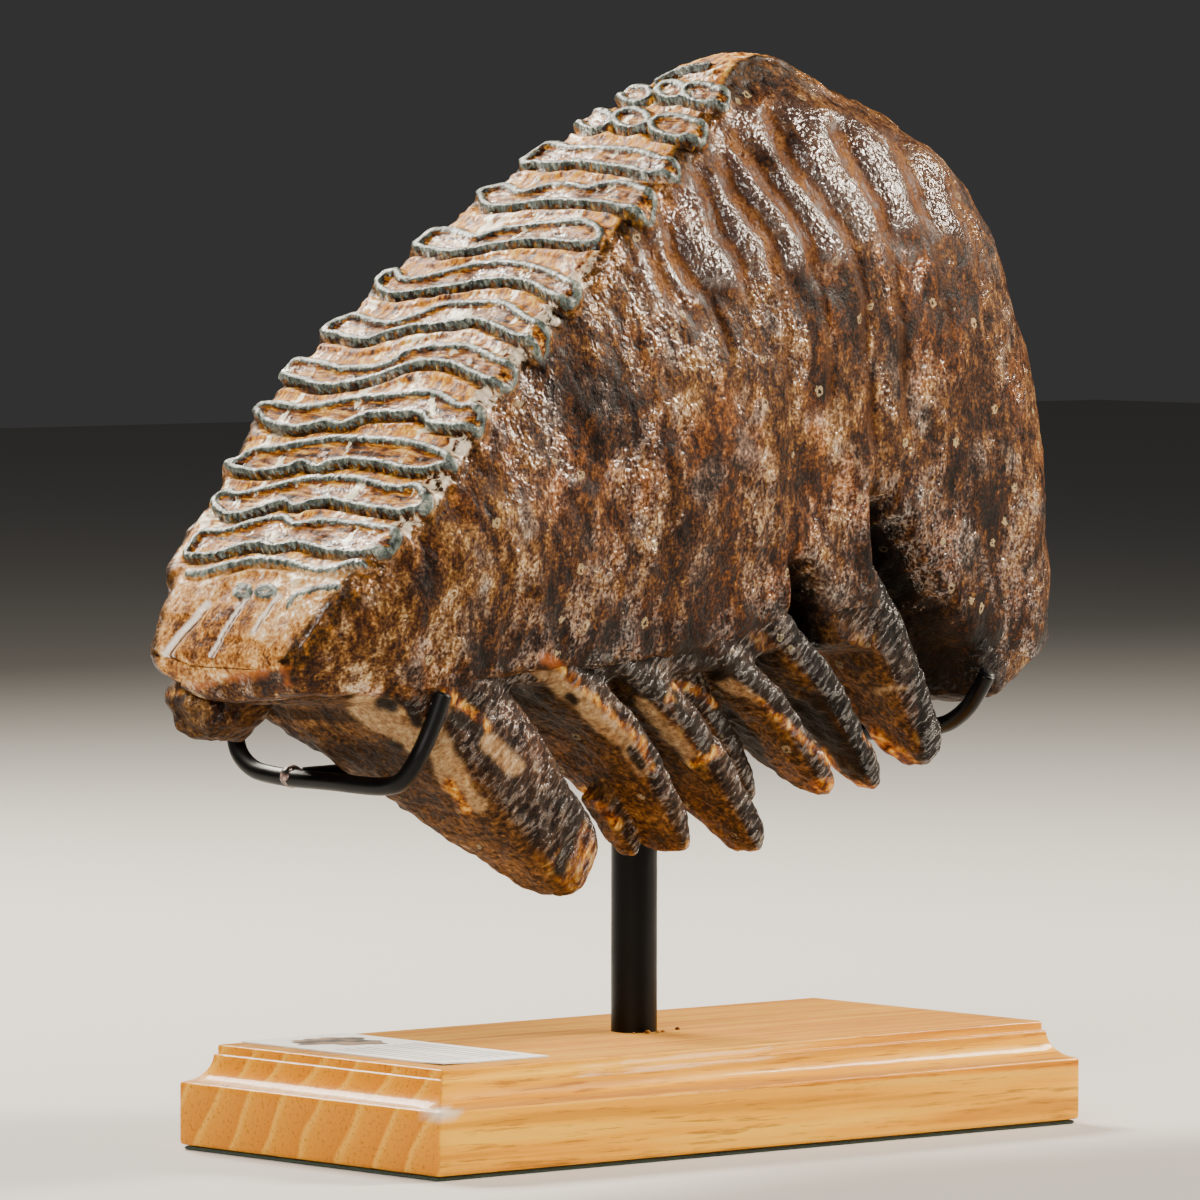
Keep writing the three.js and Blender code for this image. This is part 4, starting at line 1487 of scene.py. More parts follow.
@dataclass
class ChewingSurface:
    """The pattern of enamel lines, laid flat: a runs up the surface and b across it, both in millimetres."""
    form: MolarForm
    camera: StudioCamera
    samples: int = 6
    reach: float = 12.0
    lines: tuple[EnamelLine, ...] = (
        EnamelLine(UPPER_CROP, (
            (1240, 300), (1340, 250), (1470, 210), (1590, 190))),
        ring_of_enamel(UPPER_CROP, 985, 330, 1190, 450),
        ring_of_enamel(UPPER_CROP, 1246, 310, 1440, 425),
        ring_of_enamel(UPPER_CROP, 1425, 318, 1675, 438),
        ring_of_enamel(UPPER_CROP, 690, 490, 915, 635),
        ring_of_enamel(UPPER_CROP, 940, 500, 1180, 630),
        ring_of_enamel(UPPER_CROP, 1200, 540, 1520, 680),
        EnamelLine(UPPER_CROP, (
            (300, 860), (480, 730), (640, 770), (860, 770), (1100, 790), (1320, 850)), (
            (370, 860), (500, 880), (700, 870), (870, 890), (1050, 910), (1200, 930), (1340, 880))),
        EnamelLine(UPPER_CROP, (
            (0, 1080), (150, 1020), (290, 1080), (500, 1030), (650, 1030), (760, 1050), (940, 1010),
            (1100, 1030), (1180, 1130)), (
            (60, 1170), (250, 1170), (450, 1140), (620, 1140), (900, 1150), (1060, 1180))),
        EnamelLine(MIDDLE_CROP, (
            (880, 330), (1000, 240), (1130, 260), (1240, 295), (1400, 250), (1700, 210), (1900, 200),
            (1980, 260)), (
            (900, 340), (1050, 380), (1200, 370), (1400, 330), (1600, 310), (1900, 320))),
        EnamelLine(MIDDLE_CROP, (
            (650, 540), (740, 480), (790, 540), (950, 530), (1250, 460), (1450, 450), (1650, 490),
            (1800, 560)), (
            (650, 590), (750, 630), (950, 610), (1150, 580), (1350, 550), (1550, 560), (1700, 630),
            (1750, 640))),
        EnamelLine(MIDDLE_CROP, (
            (330, 840), (480, 750), (600, 790), (740, 810), (900, 760), (1050, 700), (1250, 690),
            (1400, 690), (1530, 760), (1640, 830)), (
            (380, 860), (560, 910), (700, 870), (860, 830), (1000, 820), (1200, 790), (1300, 800),
            (1450, 860), (1560, 890), (1640, 880))),
        EnamelLine(MIDDLE_CROP, (
            (80, 1090), (160, 1020), (300, 1040), (450, 1080), (700, 1060), (830, 980), (1000, 950),
            (1200, 950), (1350, 1010), (1430, 1060)), (
            (160, 1130), (350, 1180), (600, 1140), (750, 1090), (920, 1040), (1100, 1050), (1250, 1110),
            (1350, 1140))),
        EnamelLine(LOWER_CROP, (
            (600, 90), (680, 70), (850, 100), (1000, 80), (1150, 50), (1300, 40), (1560, 20), (1700, 80),
            (1780, 80)), (
            (620, 150), (720, 200), (850, 205), (970, 180), (1060, 195), (1200, 140), (1350, 130),
            (1500, 130), (1550, 180), (1700, 190), (1780, 170))),
        EnamelLine(LOWER_CROP, (
            (490, 370), (560, 330), (700, 320), (880, 290), (1050, 270), (1300, 280), (1430, 290),
            (1600, 330), (1640, 380)), (
            (430, 400), (480, 430), (620, 450), (760, 430), (840, 400), (930, 430), (1050, 390),
            (1250, 400), (1400, 430), (1500, 430), (1620, 400))),
        EnamelLine(LOWER_CROP, (
            (340, 600), (420, 555), (480, 580), (640, 550), (800, 510), (950, 490), (1150, 495),
            (1350, 540), (1470, 520), (1510, 580)), (
            (400, 680), (500, 690), (600, 660), (740, 620), (800, 650), (900, 620), (1000, 610),
            (1150, 640), (1350, 660), (1470, 640))),
        EnamelLine(LOWER_CROP, (
            (190, 870), (280, 785), (420, 780), (600, 730), (740, 710), (800, 750), (950, 730),
            (1100, 740), (1250, 750), (1340, 770)), (
            (180, 905), (350, 910), (480, 870), (600, 850), (700, 870), (820, 850), (950, 880),
            (1050, 890), (1250, 870))),
        EnamelLine(LOWER_CROP, (
            (155, 1000), (250, 1005), (400, 970), (600, 940), (750, 950), (900, 985), (1000, 980),
            (1100, 945), (1160, 940))),
        EnamelLine(LOWER_CROP, (
            (770, 1180), (800, 1130), (900, 1090), (1030, 1060))),
        ring_of_enamel(LOWER_CROP, 470, 1080, 555, 1130),
        ring_of_enamel(LOWER_CROP, 600, 1080, 695, 1130))
    grooves: tuple[tuple[tuple[float, float], tuple[float, float], float], ...] = (
        ((270, 1190), (20, 1570), 2.6), ((560, 1120), (280, 1590), 1.3), ((710, 1130), (580, 1320), 1.3),
        ((980, 1150), (820, 1380), 1.0), ((710, 860), (610, 1020), 0.5), ((1040, 1280), (930, 1400), 1.8))

    def __post_init__(self) -> None:
        """Measures the surface's length at many plates."""
        self.plates = np.linspace(-1.2, self.form.last_plate, 1921)
        line = self.form.top(self.plates)
        self.lengths = np.concatenate([[0], np.cumsum(np.linalg.norm(np.diff(line, axis=0), axis=1))])

    def flat(self, pixels: Points) -> Points:
        """Where lines of sight meet the surface, found step by step from its middle.

        Args:
            pixels: Photograph pixels (n, 2) that they go through.

        Returns:
            The places (a, b).
        """
        tries, nudge, longest_step, end = 30, 0.5, 20, 380
        a = np.full(len(pixels), self.lengths[len(self.lengths) // 2])
        b = np.zeros(len(pixels))
        for _ in range(tries):
            at = self.camera.see(self.lift(a, b))
            da = (self.camera.see(self.lift(a + nudge, b)) - at) / nudge
            db = (self.camera.see(self.lift(a, b + nudge)) - at) / nudge
            miss = pixels - at
            det = da[:, 0] * db[:, 1] - da[:, 1] * db[:, 0]
            up = (miss[:, 0] * db[:, 1] - miss[:, 1] * db[:, 0]) / det
            over = (da[:, 0] * miss[:, 1] - da[:, 1] * miss[:, 0]) / det
            a = np.clip(a + np.clip(up, -longest_step, longest_step), 0, end)
            b = b + np.clip(over, -longest_step, longest_step)
        return np.stack([a, b], -1)

    def lift(self, a: Points, b: Points) -> Points:
        """Points of the stand's frame at (a, b) on the surface, at the height of the enamel."""
        place = self.form.top(np.interp(a, self.lengths, self.plates))
        return self.form.in_stand(self.form.raised(place, b, 2.4))

    def outlines(self) -> list[tuple[Points, bool]]:
        """The enamel lines, laid flat.

        Returns:
            Each line as smooth points (a, b), and whether it is a closed loop.
        """
        out = []
        for line in self.lines:
            corners = self.flat(line.pixels())
            closed = bool(line.lower)
            ring = np.vstack([corners[-1:], corners, corners[:2]]) if closed else corners
            at = np.arange(len(ring))
            first, last = (1, len(ring) - 2) if closed else (0, len(ring) - 1)
            fine = np.arange(first * self.samples, last * self.samples + (0 if closed else 1)) / self.samples
            out.append((smooth_curve(list(at), ring, fine), closed))
        return out

    def distance(self, a: Points, b: Points) -> Points:
        """How far places are from the nearest enamel line.

        Args:
            a: How far up the surface they are.
            b: How far across.

        Returns:
            Distances up to the pattern's reach, negative inside a loop.
        """
        best = np.full(a.shape, self.reach)
        for outline, closed in self.outlines():
            near = (a > outline[:, 0].min() - self.reach) & (a < outline[:, 0].max() + self.reach)
            found = polygon_distance(np.stack([a[near], b[near]], -1), outline, closed)
            best[near] = np.minimum(best[near], found)
        return best

    def worn_channels(self, a: Points, b: Points) -> tuple[Points, Points]:
        """The scratches and worn channels on the front of the surface.

        Args:
            a: How far up the surface places are.
            b: How far across.

        Returns:
            Their depth there, and from 0 at the rim to 1 in the middle how far in the place lies.
        """
        depth, share = np.zeros(a.shape), np.zeros(a.shape)
        for start, end, wide in self.grooves:
            ends = self.flat(LOWER_CROP.pixels((start, end)))
            gap = polygon_distance(np.stack([a, b], -1), ends, closed=False)
            here = 1 - smooth_step(gap, 0, 1.25 * wide)
            depth, share = np.maximum(depth, 0.6 * wide * here), np.maximum(share, here)
        return depth, share


@dataclass
class CrownRings:
    """The crown's vertices in rings, and numbers (rings, columns) that belong to them.

    A vertex lies at (a, b) of the flat pattern of enamel lines, far is how far it lies below the top's edge,
    loop how far from the nearest line and depth how deep in a hollow, in millimetres. The others are shares.
    Those from channel on are filled in as the crown is built.
    """
    plates: Points
    down: Points
    grid: Points
    half: Points
    a: Points
    b: Points
    far: Points
    loop: Points
    last_worn: float = 14.9
    channel: Points | float = 0.0
    ridge: Points | float = 0.0
    furrow: Points | float = 0.0
    field: Points | float = 0.0
    depth: Points | float = 0.0

    def __post_init__(self) -> None:
        """Finds where the crown is worn, and where the wear cuts in below an enamel line."""
        steep = -np.gradient(self.loop, axis=0) / np.maximum(np.gradient(self.a, axis=0), 0.05)
        self.below = smooth_step(steep, 0.15, 0.6)
        self.lasts = (1 - smooth_step(self.plates, self.last_worn - 0.3, self.last_worn + 0.5))[:, None]
        self.edge = smooth_step(np.abs(self.b) - self.half, -3.2, -1.0)
        inside = 1 - self.edge * smooth_step(self.loop, 0.8, 1.5)
        self.worn = inside * self.lasts * smooth_step(self.far, 5.5, 4.0)
        self.facet = smooth_step(self.plates, 1.35, 0.5)[:, None] * np.ones(self.a.shape[1])


@dataclass
class MolarCrown:
    """The crown: its worn top with raised enamel lines, and its ribbed sides.

    A ring runs up the tongue side, over the top, down the cheek side and back under the foot.
    """
    form: MolarForm
    surface: ChewingSurface
    stains: ToothStains
    step: float = 0.62
    coarse_step: float = 1.5
    fine_to: float = 15.2
    top_columns: int = 98
    side_columns: int = 50
    foot_columns: int = 7
    enamel_rise: float = 2.1
    dentine_rise: float = 1.1
    cement_rise: float = 1.3
    notch_depth: float = 2.0
    knob_rise: float = 2.2
    facet_rim: Line = ((150, 700), (165, 694), (190, 690), (215, 681), (240, 676), (262, 672), (290, 668),
                       (330, 640))

    def __post_init__(self) -> None:
        """Numbers the columns of vertices, and finds the first of the top and the first of the cheek side."""
        self.first = self.side_columns
        self.last = self.first + self.top_columns
        self.columns = self.last + self.side_columns + self.foot_columns
        self.index = np.arange(self.columns)
        self.cheek = self.index >= self.last
        self.on_top = (self.index >= self.first) & ~self.cheek

    def rows(self) -> Points:
        """Where the rings of vertices are, closer together where the surface is worn.

        Returns:
            Their plates.
        """
        lengths, plates = self.surface.lengths, self.surface.plates
        worn = np.interp(self.fine_to, plates, lengths)
        first = np.interp(np.arange(0, worn, self.step), lengths, plates)
        foot = self.form.side(plates, np.array([0.6]))[:, 0, :2]
        away = np.concatenate([[0], np.cumsum(np.linalg.norm(np.diff(foot, axis=0), axis=1))])
        away = 0.5 * away + 0.5 * lengths
        start, end = np.interp(self.fine_to, plates, away), away[-1]
        rest = np.interp(np.arange(start, end, self.coarse_step), away, plates)
        # the back end rounds off quickly, so its last rings lie ever closer
        rounded = [17.88, 17.92, 17.95, 17.975, 17.99, 17.998, 18.0]
        return np.concatenate([first, rest[(rest < 17.85)][1:], rounded])

    def bare(self, plates: Points, across: Points, down: Points) -> tuple[Points, Points, Points]:
        """The crown's smooth shape, before anything is worn or stands on it.

        Args:
            plates: Where the rings are.
            across: Places across the top, from 1 on the tongue side to -1 on the cheek side.
            down: Shares of the way down the sides.

        Returns:
            Vertices in rings (rings, columns, 3), the plate that the pattern of each top vertex comes from,
            and how far each vertex lies below the top's edge.
        """
        form = self.form
        half = form.lines(plates)[:, 0, 2]
        side = form.side(plates, down)
        x, z, width = side[..., 0], side[..., 1], side[..., 2]
        pinch = 1 - 0.17 * np.exp(-((plates - 0.4) / 0.8) ** 2)
        narrow = 1 - (1 - pinch[:, None]) * smooth_step(down, 0.6, 0)
        tongue = np.stack([x, width * narrow + form.rib(plates[:, None], down[None]), z], -1)[:, ::-1]
        cheek = np.stack([x, -width, z], -1)
        at_plate = plates[:, None] + form.swing(plates[:, None], across) * form.rounding(plates)[:, None]
        to_side = across * half[:, None] * 0.985 * np.where(across > 0, pinch[:, None], 1)
        top = form.raised(form.top(at_plate), to_side, 1.5 * (1 - across ** 4))
        foot = side[:, -1]
        t = np.linspace(-0.93, 0.93, self.foot_columns)
        sag = 2.0 * (1 - t ** 4)
        below = np.stack([np.repeat(foot[:, :1], len(t), 1), t * foot[:, 2:], foot[:, 1:2] - sag], -1)
        fallen = np.linalg.norm(side[..., :2] - form.top(plates)[:, None], axis=-1)
        fallen = fallen + 0.3 * (width - half[:, None])
        far = np.concatenate([fallen[:, ::-1], np.zeros((len(plates), len(across))), fallen,
                              np.full((len(plates), len(t)), 99.0)], 1)
        return np.concatenate([tongue, top, cheek, below], 1), at_plate, far

    def soften(self, grid: Points) -> Points:
        """Rounds the shoulders between the top, the sides and the foot.

        Args:
            grid: Vertices in rings.

        Returns:
            The same rings, rounded.
        """
        near = np.maximum(smooth_step(np.abs(self.index - self.first + 0.5), 9, 2),
                          smooth_step(np.abs(self.index - self.last + 0.5), 9, 2))
        near = np.maximum(near, smooth_step(np.abs(self.index - self.last - self.side_columns + 0.5), 5, 1))
        for _ in range(10):
            around = (np.roll(grid, 1, 1) + np.roll(grid, -1, 1)) / 2
            grid = grid + near[None, :, None] * 0.6 * (around - grid)
        return grid

    def measure(self) -> CrownRings:
        """Lays the smooth rings out, and finds where they lie in the flat pattern of enamel lines.

        Returns:
            The rings, before anything is worn or stands on them.
        """
        surface, top = self.surface, slice(self.first, self.last)
        plates = self.rows()
        turns = np.linspace(math.pi / 2, -math.pi / 2, self.top_columns)
        across = np.sin(turns) * 0.25 + np.linspace(1, -1, self.top_columns) * 0.75
        down = np.linspace(0.012, 1, self.side_columns) ** 1.25
        grid, at_plate, far = self.bare(plates, across, down)
        half = self.form.lines(plates)[:, :1, 2]
        a = np.repeat(np.interp(plates, surface.plates, surface.lengths)[:, None], self.columns, 1)
        a[:, top] = np.interp(at_plate, surface.plates, surface.lengths)
        b = np.where(self.cheek, -half - far, half + far)
        b[:, top] = across * half
        near = slice(self.first - 7, self.last + 7)
        loop = np.full(a.shape, surface.reach)
        loop[:, near] = surface.distance(a[:, near], b[:, near])
        return CrownRings(plates, down, self.soften(grid), half, a, b, far, loop)

    def worn_top(self, rings: CrownRings) -> Points:
        """The enamel lines, and the dentine and cement worn down between them.

        Args:
            rings: The smooth rings. Their channels are filled in.

        Returns:
            Heights off the smooth shape.
        """
        grid, loop, below, facet = rings.grid, rings.loop, rings.below, rings.facet
        band = 1 - smooth_step(np.abs(loop), 0.8, 1.25)
        dip = self.notch_depth * smooth_step(loop, 3.7, 1.2) * below * (1 - 0.8 * facet)
        cement = self.cement_rise - dip - 0.5 * smooth_step(loop, 1.2, 2.5) * (1 - below)
        dentine = self.dentine_rise + 0.14 * np.cos(loop * 2 * math.pi / 1.1)
        ground = np.where(loop < 0, dentine, cement)
        wobble = 0.3 * noise(grid, 6, 21, 3) + 0.22 * noise(grid, 2.2, 22, 2)
        ground = ground + wobble * (1 - 0.7 * facet)
        enamel = self.enamel_rise + 0.12 * noise(grid, 1.6, 23, 1) - 0.7 * facet
        height = ground + (enamel - ground) * band
        channels = self.surface.worn_channels(rings.a, rings.b)
        groove, rings.channel = (np.where(self.on_top, v, 0) for v in channels)
        height = (height - groove) * rings.lasts * np.exp(-(rings.far / 3.2) ** 2)
        # knobs where the loops end at either edge
        for start, middle in ((self.first, self.first), (self.last - 5, self.last - 1)):
            knob = smooth_step(loop[:, start:start + 5].min(1), 2.4, 0.4)
            knob = np.convolve(knob, np.array([1, 2, 3, 2, 1]) / 9, "same")
            knob = (self.knob_rise * knob - 0.9) * smooth_step(rings.plates, 0.9, 1.6) * rings.lasts[:, 0]
            height = height + knob[:, None] * np.exp(-((self.index - middle) / 4.5) ** 2)
        return height

    def ribbed_sides(self, rings: CrownRings) -> Points:
        """The ribs and the lumpy skin of the sides.

        Args:
            rings: The smooth rings. Their ridges, furrows and ribbed field are filled in.

        Returns:
            Heights off the smooth shape.
        """
        form, grid = self.form, rings.grid
        traced = form.traced_ribs(self.surface.camera.see(form.in_stand(grid)))
        ribs, ridge, furrow, field = (np.where(self.cheek, v, 0) for v in traced)
        wave = form.rib(rings.plates[:, None], rings.down[None])[:, ::-1] / form.rib_height
        upper = smooth_step(rings.down[::-1], 0.7, 0.35)
        ridge[:, :self.first] = smooth_step(wave, 0.05, 0.35) * upper
        field[:, :self.first] = smooth_step(-wave, 0.0, 0.4) * upper
        rings.ridge, rings.furrow, rings.field = ridge, furrow, field
        skin = (0.8 * noise(grid, 24, 1, 3) + 0.5 * noise(grid, 8, 2, 3) + 0.3 * noise(grid, 4.5, 3, 2)
                + 0.3 * ridge * noise(grid, 3.2, 4, 2))
        return skin + ribs

    def sink_hollows(self, rings: CrownRings) -> None:
        """Sinks the hollows between the last roots, draws the foot in to meet the roots and trims the heel.

        Args:
            rings: The rings, which are changed. Their depth is filled in.
        """
        grid, down = rings.grid, rings.down
        rings.depth = np.where(self.cheek, self.form.hollow_depth(grid[..., 0], grid[..., 2]), 0)
        foot = -self.form.lines(rings.plates)[:, 3:, 2]
        sunk = np.where(self.index < self.columns - self.foot_columns, grid[..., 1] + rings.depth,
                        np.maximum(grid[..., 1], foot + rings.depth))
        grid[..., 1] = np.where(self.cheek & (grid[..., 1] < 0), np.minimum(sunk, 2.0), grid[..., 1])
        low = np.concatenate([down[::-1], np.zeros(self.top_columns), down, np.zeros(self.foot_columns)])
        grid[..., 1] *= 1 - 0.08 * smooth_step(low, 0.93, 1.0)
        rings.grid = self.form.trim_heel(grid)

    def front_cap(self, ring: Points) -> Points:
        """Rings that close the crown's front end.

        Args:
            ring: The crown's first ring.

        Returns:
            The cap's rings, from the middle outward.
        """
        middle = ring * (1, 0.55, 0) + (0, 0, ring[:, 2].mean())
        rows = []
        for share in (0.97, 0.86, 0.7, 0.5, 0.3, 0.12):
            inner = ring * (1 - share) + middle * share
            inner[:, 0] = ring[:, 0] * (1 - share) + (ring[:, 0].mean() - 0.4) * share
            rows.append(inner + np.array([0.5, 0, 0]) * noise(inner, 4, 60)[:, None])
        return np.array(rows)

    def soften_front(self, points: Points, lead: int) -> Points:
        """Rounds the edge between the front cap and the crown.

        Args:
            points: Vertices in rings, those of the cap first.
            lead: How many rings the cap has.

        Returns:
            The same rings, rounded.
        """
        soft = smooth_step(np.abs(np.arange(len(points)) - lead), 5, 1)[:, None, None]
        soft[:1] = 0
        for _ in range(5):
            around = (np.roll(points, 1, 0) + np.roll(points, -1, 0)) / 2
            points = points + 0.6 * soft * (around - points)
        return points

    def numbers(self, rings: CrownRings) -> dict[str, Points]:
        """Numbers that the finish reads at each vertex.

        Args:
            rings: The rings, with all that is filled in.

        Returns:
            The numbers by name, loop_mm in millimetres and the others as shares.
        """
        half, far, loop, b = rings.half, rings.far, rings.loop, rings.b
        # the ribs' gloss and the facet's channels, where the finish also paints a highlight
        glossy = np.maximum(rings.ridge * smooth_step(noise(rings.grid, 9, 5, 2), -0.9, -0.3),
                            smooth_step(rings.channel, 0.15, 0.5) * smooth_step(rings.channel, 0.98, 0.85))
        # a painted shadow below the lower edge of each enamel line, where the cement drops away
        notch = rings.below * smooth_step(loop, 2.3, 1.3) * (loop > 0.9) * rings.worn
        low = smooth_step(rings.plates, 1.5, 2.5) * smooth_step(rings.plates, 9.5, 8.0)
        chalk = smooth_step(b, 6.5 - half, 3 - half) * smooth_step(far, 3.0, 1.0)
        chalk = chalk * smooth_step(loop, 0.9, 1.2) * low[:, None]
        between = smooth_step(-b / half, 0.62, 0.9) * smooth_step(loop, 0.7, 1.0)
        inside = smooth_step(np.abs(b) / half, 0.5, 0.64) * smooth_step(loop, -0.8, -1.2)
        skin = (rings.edge * self.on_top + smooth_step(far, 6, 2.5) * (1 - self.on_top)
                + 0.8 * self.on_top * (1 - rings.lasts))
        # painted shade: full in the hollows, half in the thin furrow lines, and along the channels' bottoms
        shade = np.maximum(smooth_step(rings.depth, 0.8, 5), 0.5 * rings.furrow)
        return {"loop_mm": loop, "worn": rings.worn, "notch": notch, "cream": np.maximum(between, inside),
                "ridge": glossy, "chalk": chalk, "facet": rings.facet, "skin": skin * (1 - rings.ridge),
                "furrow": np.maximum(rings.field * (1 - rings.ridge), rings.furrow),
                "shade": shade + 0.6 * smooth_step(rings.channel, 0.9, 1.0)}

    def paint_cap(self, spread: dict[str, Points], points: Points, count: int) -> None:
        """Carries the worn facet over the front end, down to a rim that is lower on the tongue side.

        Args:
            spread: The finish's numbers by name, which are changed.
            points: Vertices in rings, those of the cap first.
            count: How many vertices the cap has.
        """
        pixels = self.surface.camera.see(self.form.in_stand(points.reshape(-1, 3)[:count]))
        rim = np.interp(pixels[:, 0], *np.array(self.facet_rim, float).T)
        spread["worn"][:count] = smooth_step(rim - pixels[:, 1], -2, 3)
        spread["facet"][:count] = 1.0
        spread["loop_mm"][:count] = self.surface.reach
        for key in ("notch", "cream", "skin", "ridge", "chalk"):
            spread[key][:count] = 0.0

    def build(self) -> None:
        """Makes the crown's mesh with the numbers that its finish reads."""
        rings = self.measure()
        height = self.worn_top(rings)
        height = height + self.ribbed_sides(rings) * (1 - rings.worn)
        rings.grid = rings.grid + self.normals(rings.grid) * height[..., None]
        self.sink_hollows(rings)
        cap = self.front_cap(rings.grid[0])
        lead = len(cap)
        points = self.soften_front(np.concatenate([cap, rings.grid]), lead)
        spread = {key: np.concatenate([np.repeat(v[:1], lead, 0), v]).ravel()
                  for key, v in self.numbers(rings).items()}
        spread.update(self.stains.read(points.reshape(-1, 3), self.normals(points).reshape(-1, 3)))
        self.paint_cap(spread, points, lead * self.columns)
        faces = grid_faces(len(points), self.columns) + [tuple(range(self.columns))[::-1]]
        piece = make_piece("molar_crown", self.form.in_stand(points.reshape(-1, 3)), faces,
                           PolishedMolarCrown().build(), ("molar",), spread)
        weld(piece.data)

    @staticmethod
    def normals(grid: Points) -> Points:
        """Outward directions at the vertices of a ringed grid.

        Args:
            grid: Vertices in rings.

        Returns:
            One direction of length 1 for each.
        """
        along = np.gradient(grid, axis=0)
        around = np.roll(grid, -1, 1) - np.roll(grid, 1, 1)
        normal = np.cross(along, around)
        normal /= np.maximum(np.linalg.norm(normal, axis=-1, keepdims=True), 1e-9)
        out = grid - grid.mean(1, keepdims=True)
        return normal * np.sign((normal * out).sum(-1).mean())


def weld(mesh: bpy.types.Mesh) -> None:
    """Joins vertices that lie on one another and turns all faces outward.

    Args:
        mesh: The mesh, which is changed.
    """
    shape = bmesh.new()
    shape.from_mesh(mesh)
    bmesh.ops.remove_doubles(shape, verts=shape.verts, dist=2e-6)
    bmesh.ops.recalc_face_normals(shape, faces=shape.faces)
    shape.to_mesh(mesh)
    shape.free()


@dataclass
class MolarRoots:
    """The roots and the underside that they hang from, grown together into one body."""
    form: MolarForm
    stains: ToothStains
    voxel: float = 0.9
    tip_from: float = 0.86
    around: int = 36
    sections: int = 60

    def loft(self, root: Root) -> Solid:
        """One root, as a closed tube whose tip rounds off.

        Args:
            root: The root.

        Returns:
            Its vertices and faces.
        """
        s = 1 - (1 - np.linspace(0, 1, self.sections)) ** 1.25
        centre, ahead, outer, inner, thick = root.along(s)
        tip = np.clip((s - self.tip_from) / (1 - self.tip_from), 0, 1)
        closing = 0.3 + 0.7 * np.sqrt(1 - tip ** 2)
        middle = (outer + inner) / 2
        wide = np.abs(inner - outer) / 2 * (0.25 + 0.75 * closing)
        turn = (np.arange(self.around) + 0.5) / self.around * 2 * math.pi
        u = np.sign(np.cos(turn)) * np.abs(np.cos(turn)) ** 0.45
        v = np.sign(np.sin(turn)) * np.abs(np.sin(turn)) ** 0.55 * (thick * closing)[:, None]
        x = centre[:, :1] - ahead[:, 1:] * v
        z = centre[:, 1:] + ahead[:, :1] * v
        y = middle[:, None] + wide[:, None] * u
        return np.stack([x, y, z], -1).reshape(-1, 3), tube_faces(self.sections, self.around)

    def core(self) -> Solid:
        """The slab inside the crown's foot that the roots hang from.

        Returns:
            Its vertices and faces.
        """
        plates = np.linspace(-0.9, 17.3, 130)
        side = self.form.side(plates, np.array([0.86, 0.92, 0.97, 1.0]))
        t = np.linspace(-0.95, 0.95, 12)
        x, z, half = side[..., 0], side[..., 1], side[..., 2] - 1.6
        up = np.stack([x, half, z], -1)[:, ::-1]
        fall = np.stack([x, -half, z], -1)
        sag = 2.6 * (1 - t ** 4)
        below = np.stack([np.repeat(x[:, -1:], len(t), 1), t * half[:, -1:], z[:, -1:] - sag], -1)
        grid = np.concatenate([up, fall, below], 1)
        # where the crown has a hollow, the slab stays behind its surface
        depth = self.form.hollow_depth(grid[..., 0], grid[..., 2])
        grid[..., 1] = np.maximum(grid[..., 1], np.where(depth > 0.3, -37.0 + depth, -1e3))
        grid = self.form.trim_heel(grid)
        return grid.reshape(-1, 3), tube_faces(len(plates), grid.shape[1])

    def front_lump(self) -> Solid:
        """The lump of cement under the front end, a little tilted.

        Returns:
            Its vertices and faces.
        """
        points, faces = lump((0, 0, 0), (12.5, 13.5, 12), 0.2, 8.0, 77, 30)
        cos, sin = math.cos(0.3), math.sin(0.3)
        x, y, z = points.T
        return np.stack([x * cos + z * sin, y, z * cos - x * sin], -1) + (-133, 17, 118), faces

    def grown_together(self, parts: list[Solid]) -> tuple[Points, Points, list]:
        """Joins closed bodies into one soft skin.

        Args:
            parts: Vertices and faces of each body.

        Returns:
            The skin's vertices in millimetres, their outward directions, and its faces.
        """
        merged = bmesh.new()
        for points, faces in parts:
            mesh = bpy.data.meshes.new("part")
            mesh.from_pydata((points * MM).tolist(), [], faces)
            weld(mesh)
            merged.from_mesh(mesh)
            bpy.data.meshes.remove(mesh)
        rough = bpy.data.meshes.new("rough")
        merged.to_mesh(rough)
        merged.free()
        carrier = bpy.data.objects.new("rough", rough)
        bpy.context.scene.collection.objects.link(carrier)
        grown = carrier.modifiers.new("grown", "REMESH")
        grown.mode = "VOXEL"
        grown.voxel_size = self.voxel * MM
        soft = carrier.modifiers.new("soft", "SMOOTH")
        soft.factor = 0.6
        soft.iterations = 4
        done = bpy.data.meshes.new_from_object(carrier.evaluated_get(bpy.context.evaluated_depsgraph_get()))
        bpy.data.objects.remove(carrier)
        read = []
        for values, name in ((done.vertices, "co"), (done.vertex_normals, "vector")):
            flat = np.zeros(len(done.vertices) * 3, np.float32)
            values.foreach_get(name, flat)
            read.append(flat.reshape(-1, 3).astype(float))
        faces = [tuple(p.vertices) for p in done.polygons]
        bpy.data.meshes.remove(done)
        return read[0] / MM, read[1], faces

    def build(self) -> None:
        """Grows the roots, the underside and the front lump together, and makes the mesh."""
        parts = [self.core()] + [self.loft(root) for root in self.form.roots] + [self.front_lump()]
        points, normals, faces = self.grown_together(parts)
        numbers = self.numbers(points, normals)
        height = 0.5 * noise(points, 9, 41, 3) + 0.25 * noise(points, 2.8, 42, 2)
        # ridges drawn out along the lean of the roots
        drawn = points @ np.array([[0.7, 0, -0.7], [0, 1, 0], [0.12, 0, 0.12]]).T
        height = height + 0.3 * noise(drawn, 2.4, 43, 2)
        points = points + normals * (height - 0.3)[:, None]
        make_piece("molar_roots", self.form.in_stand(points), faces, PolishedRootDentine().build(),
                   ("molar",), numbers)

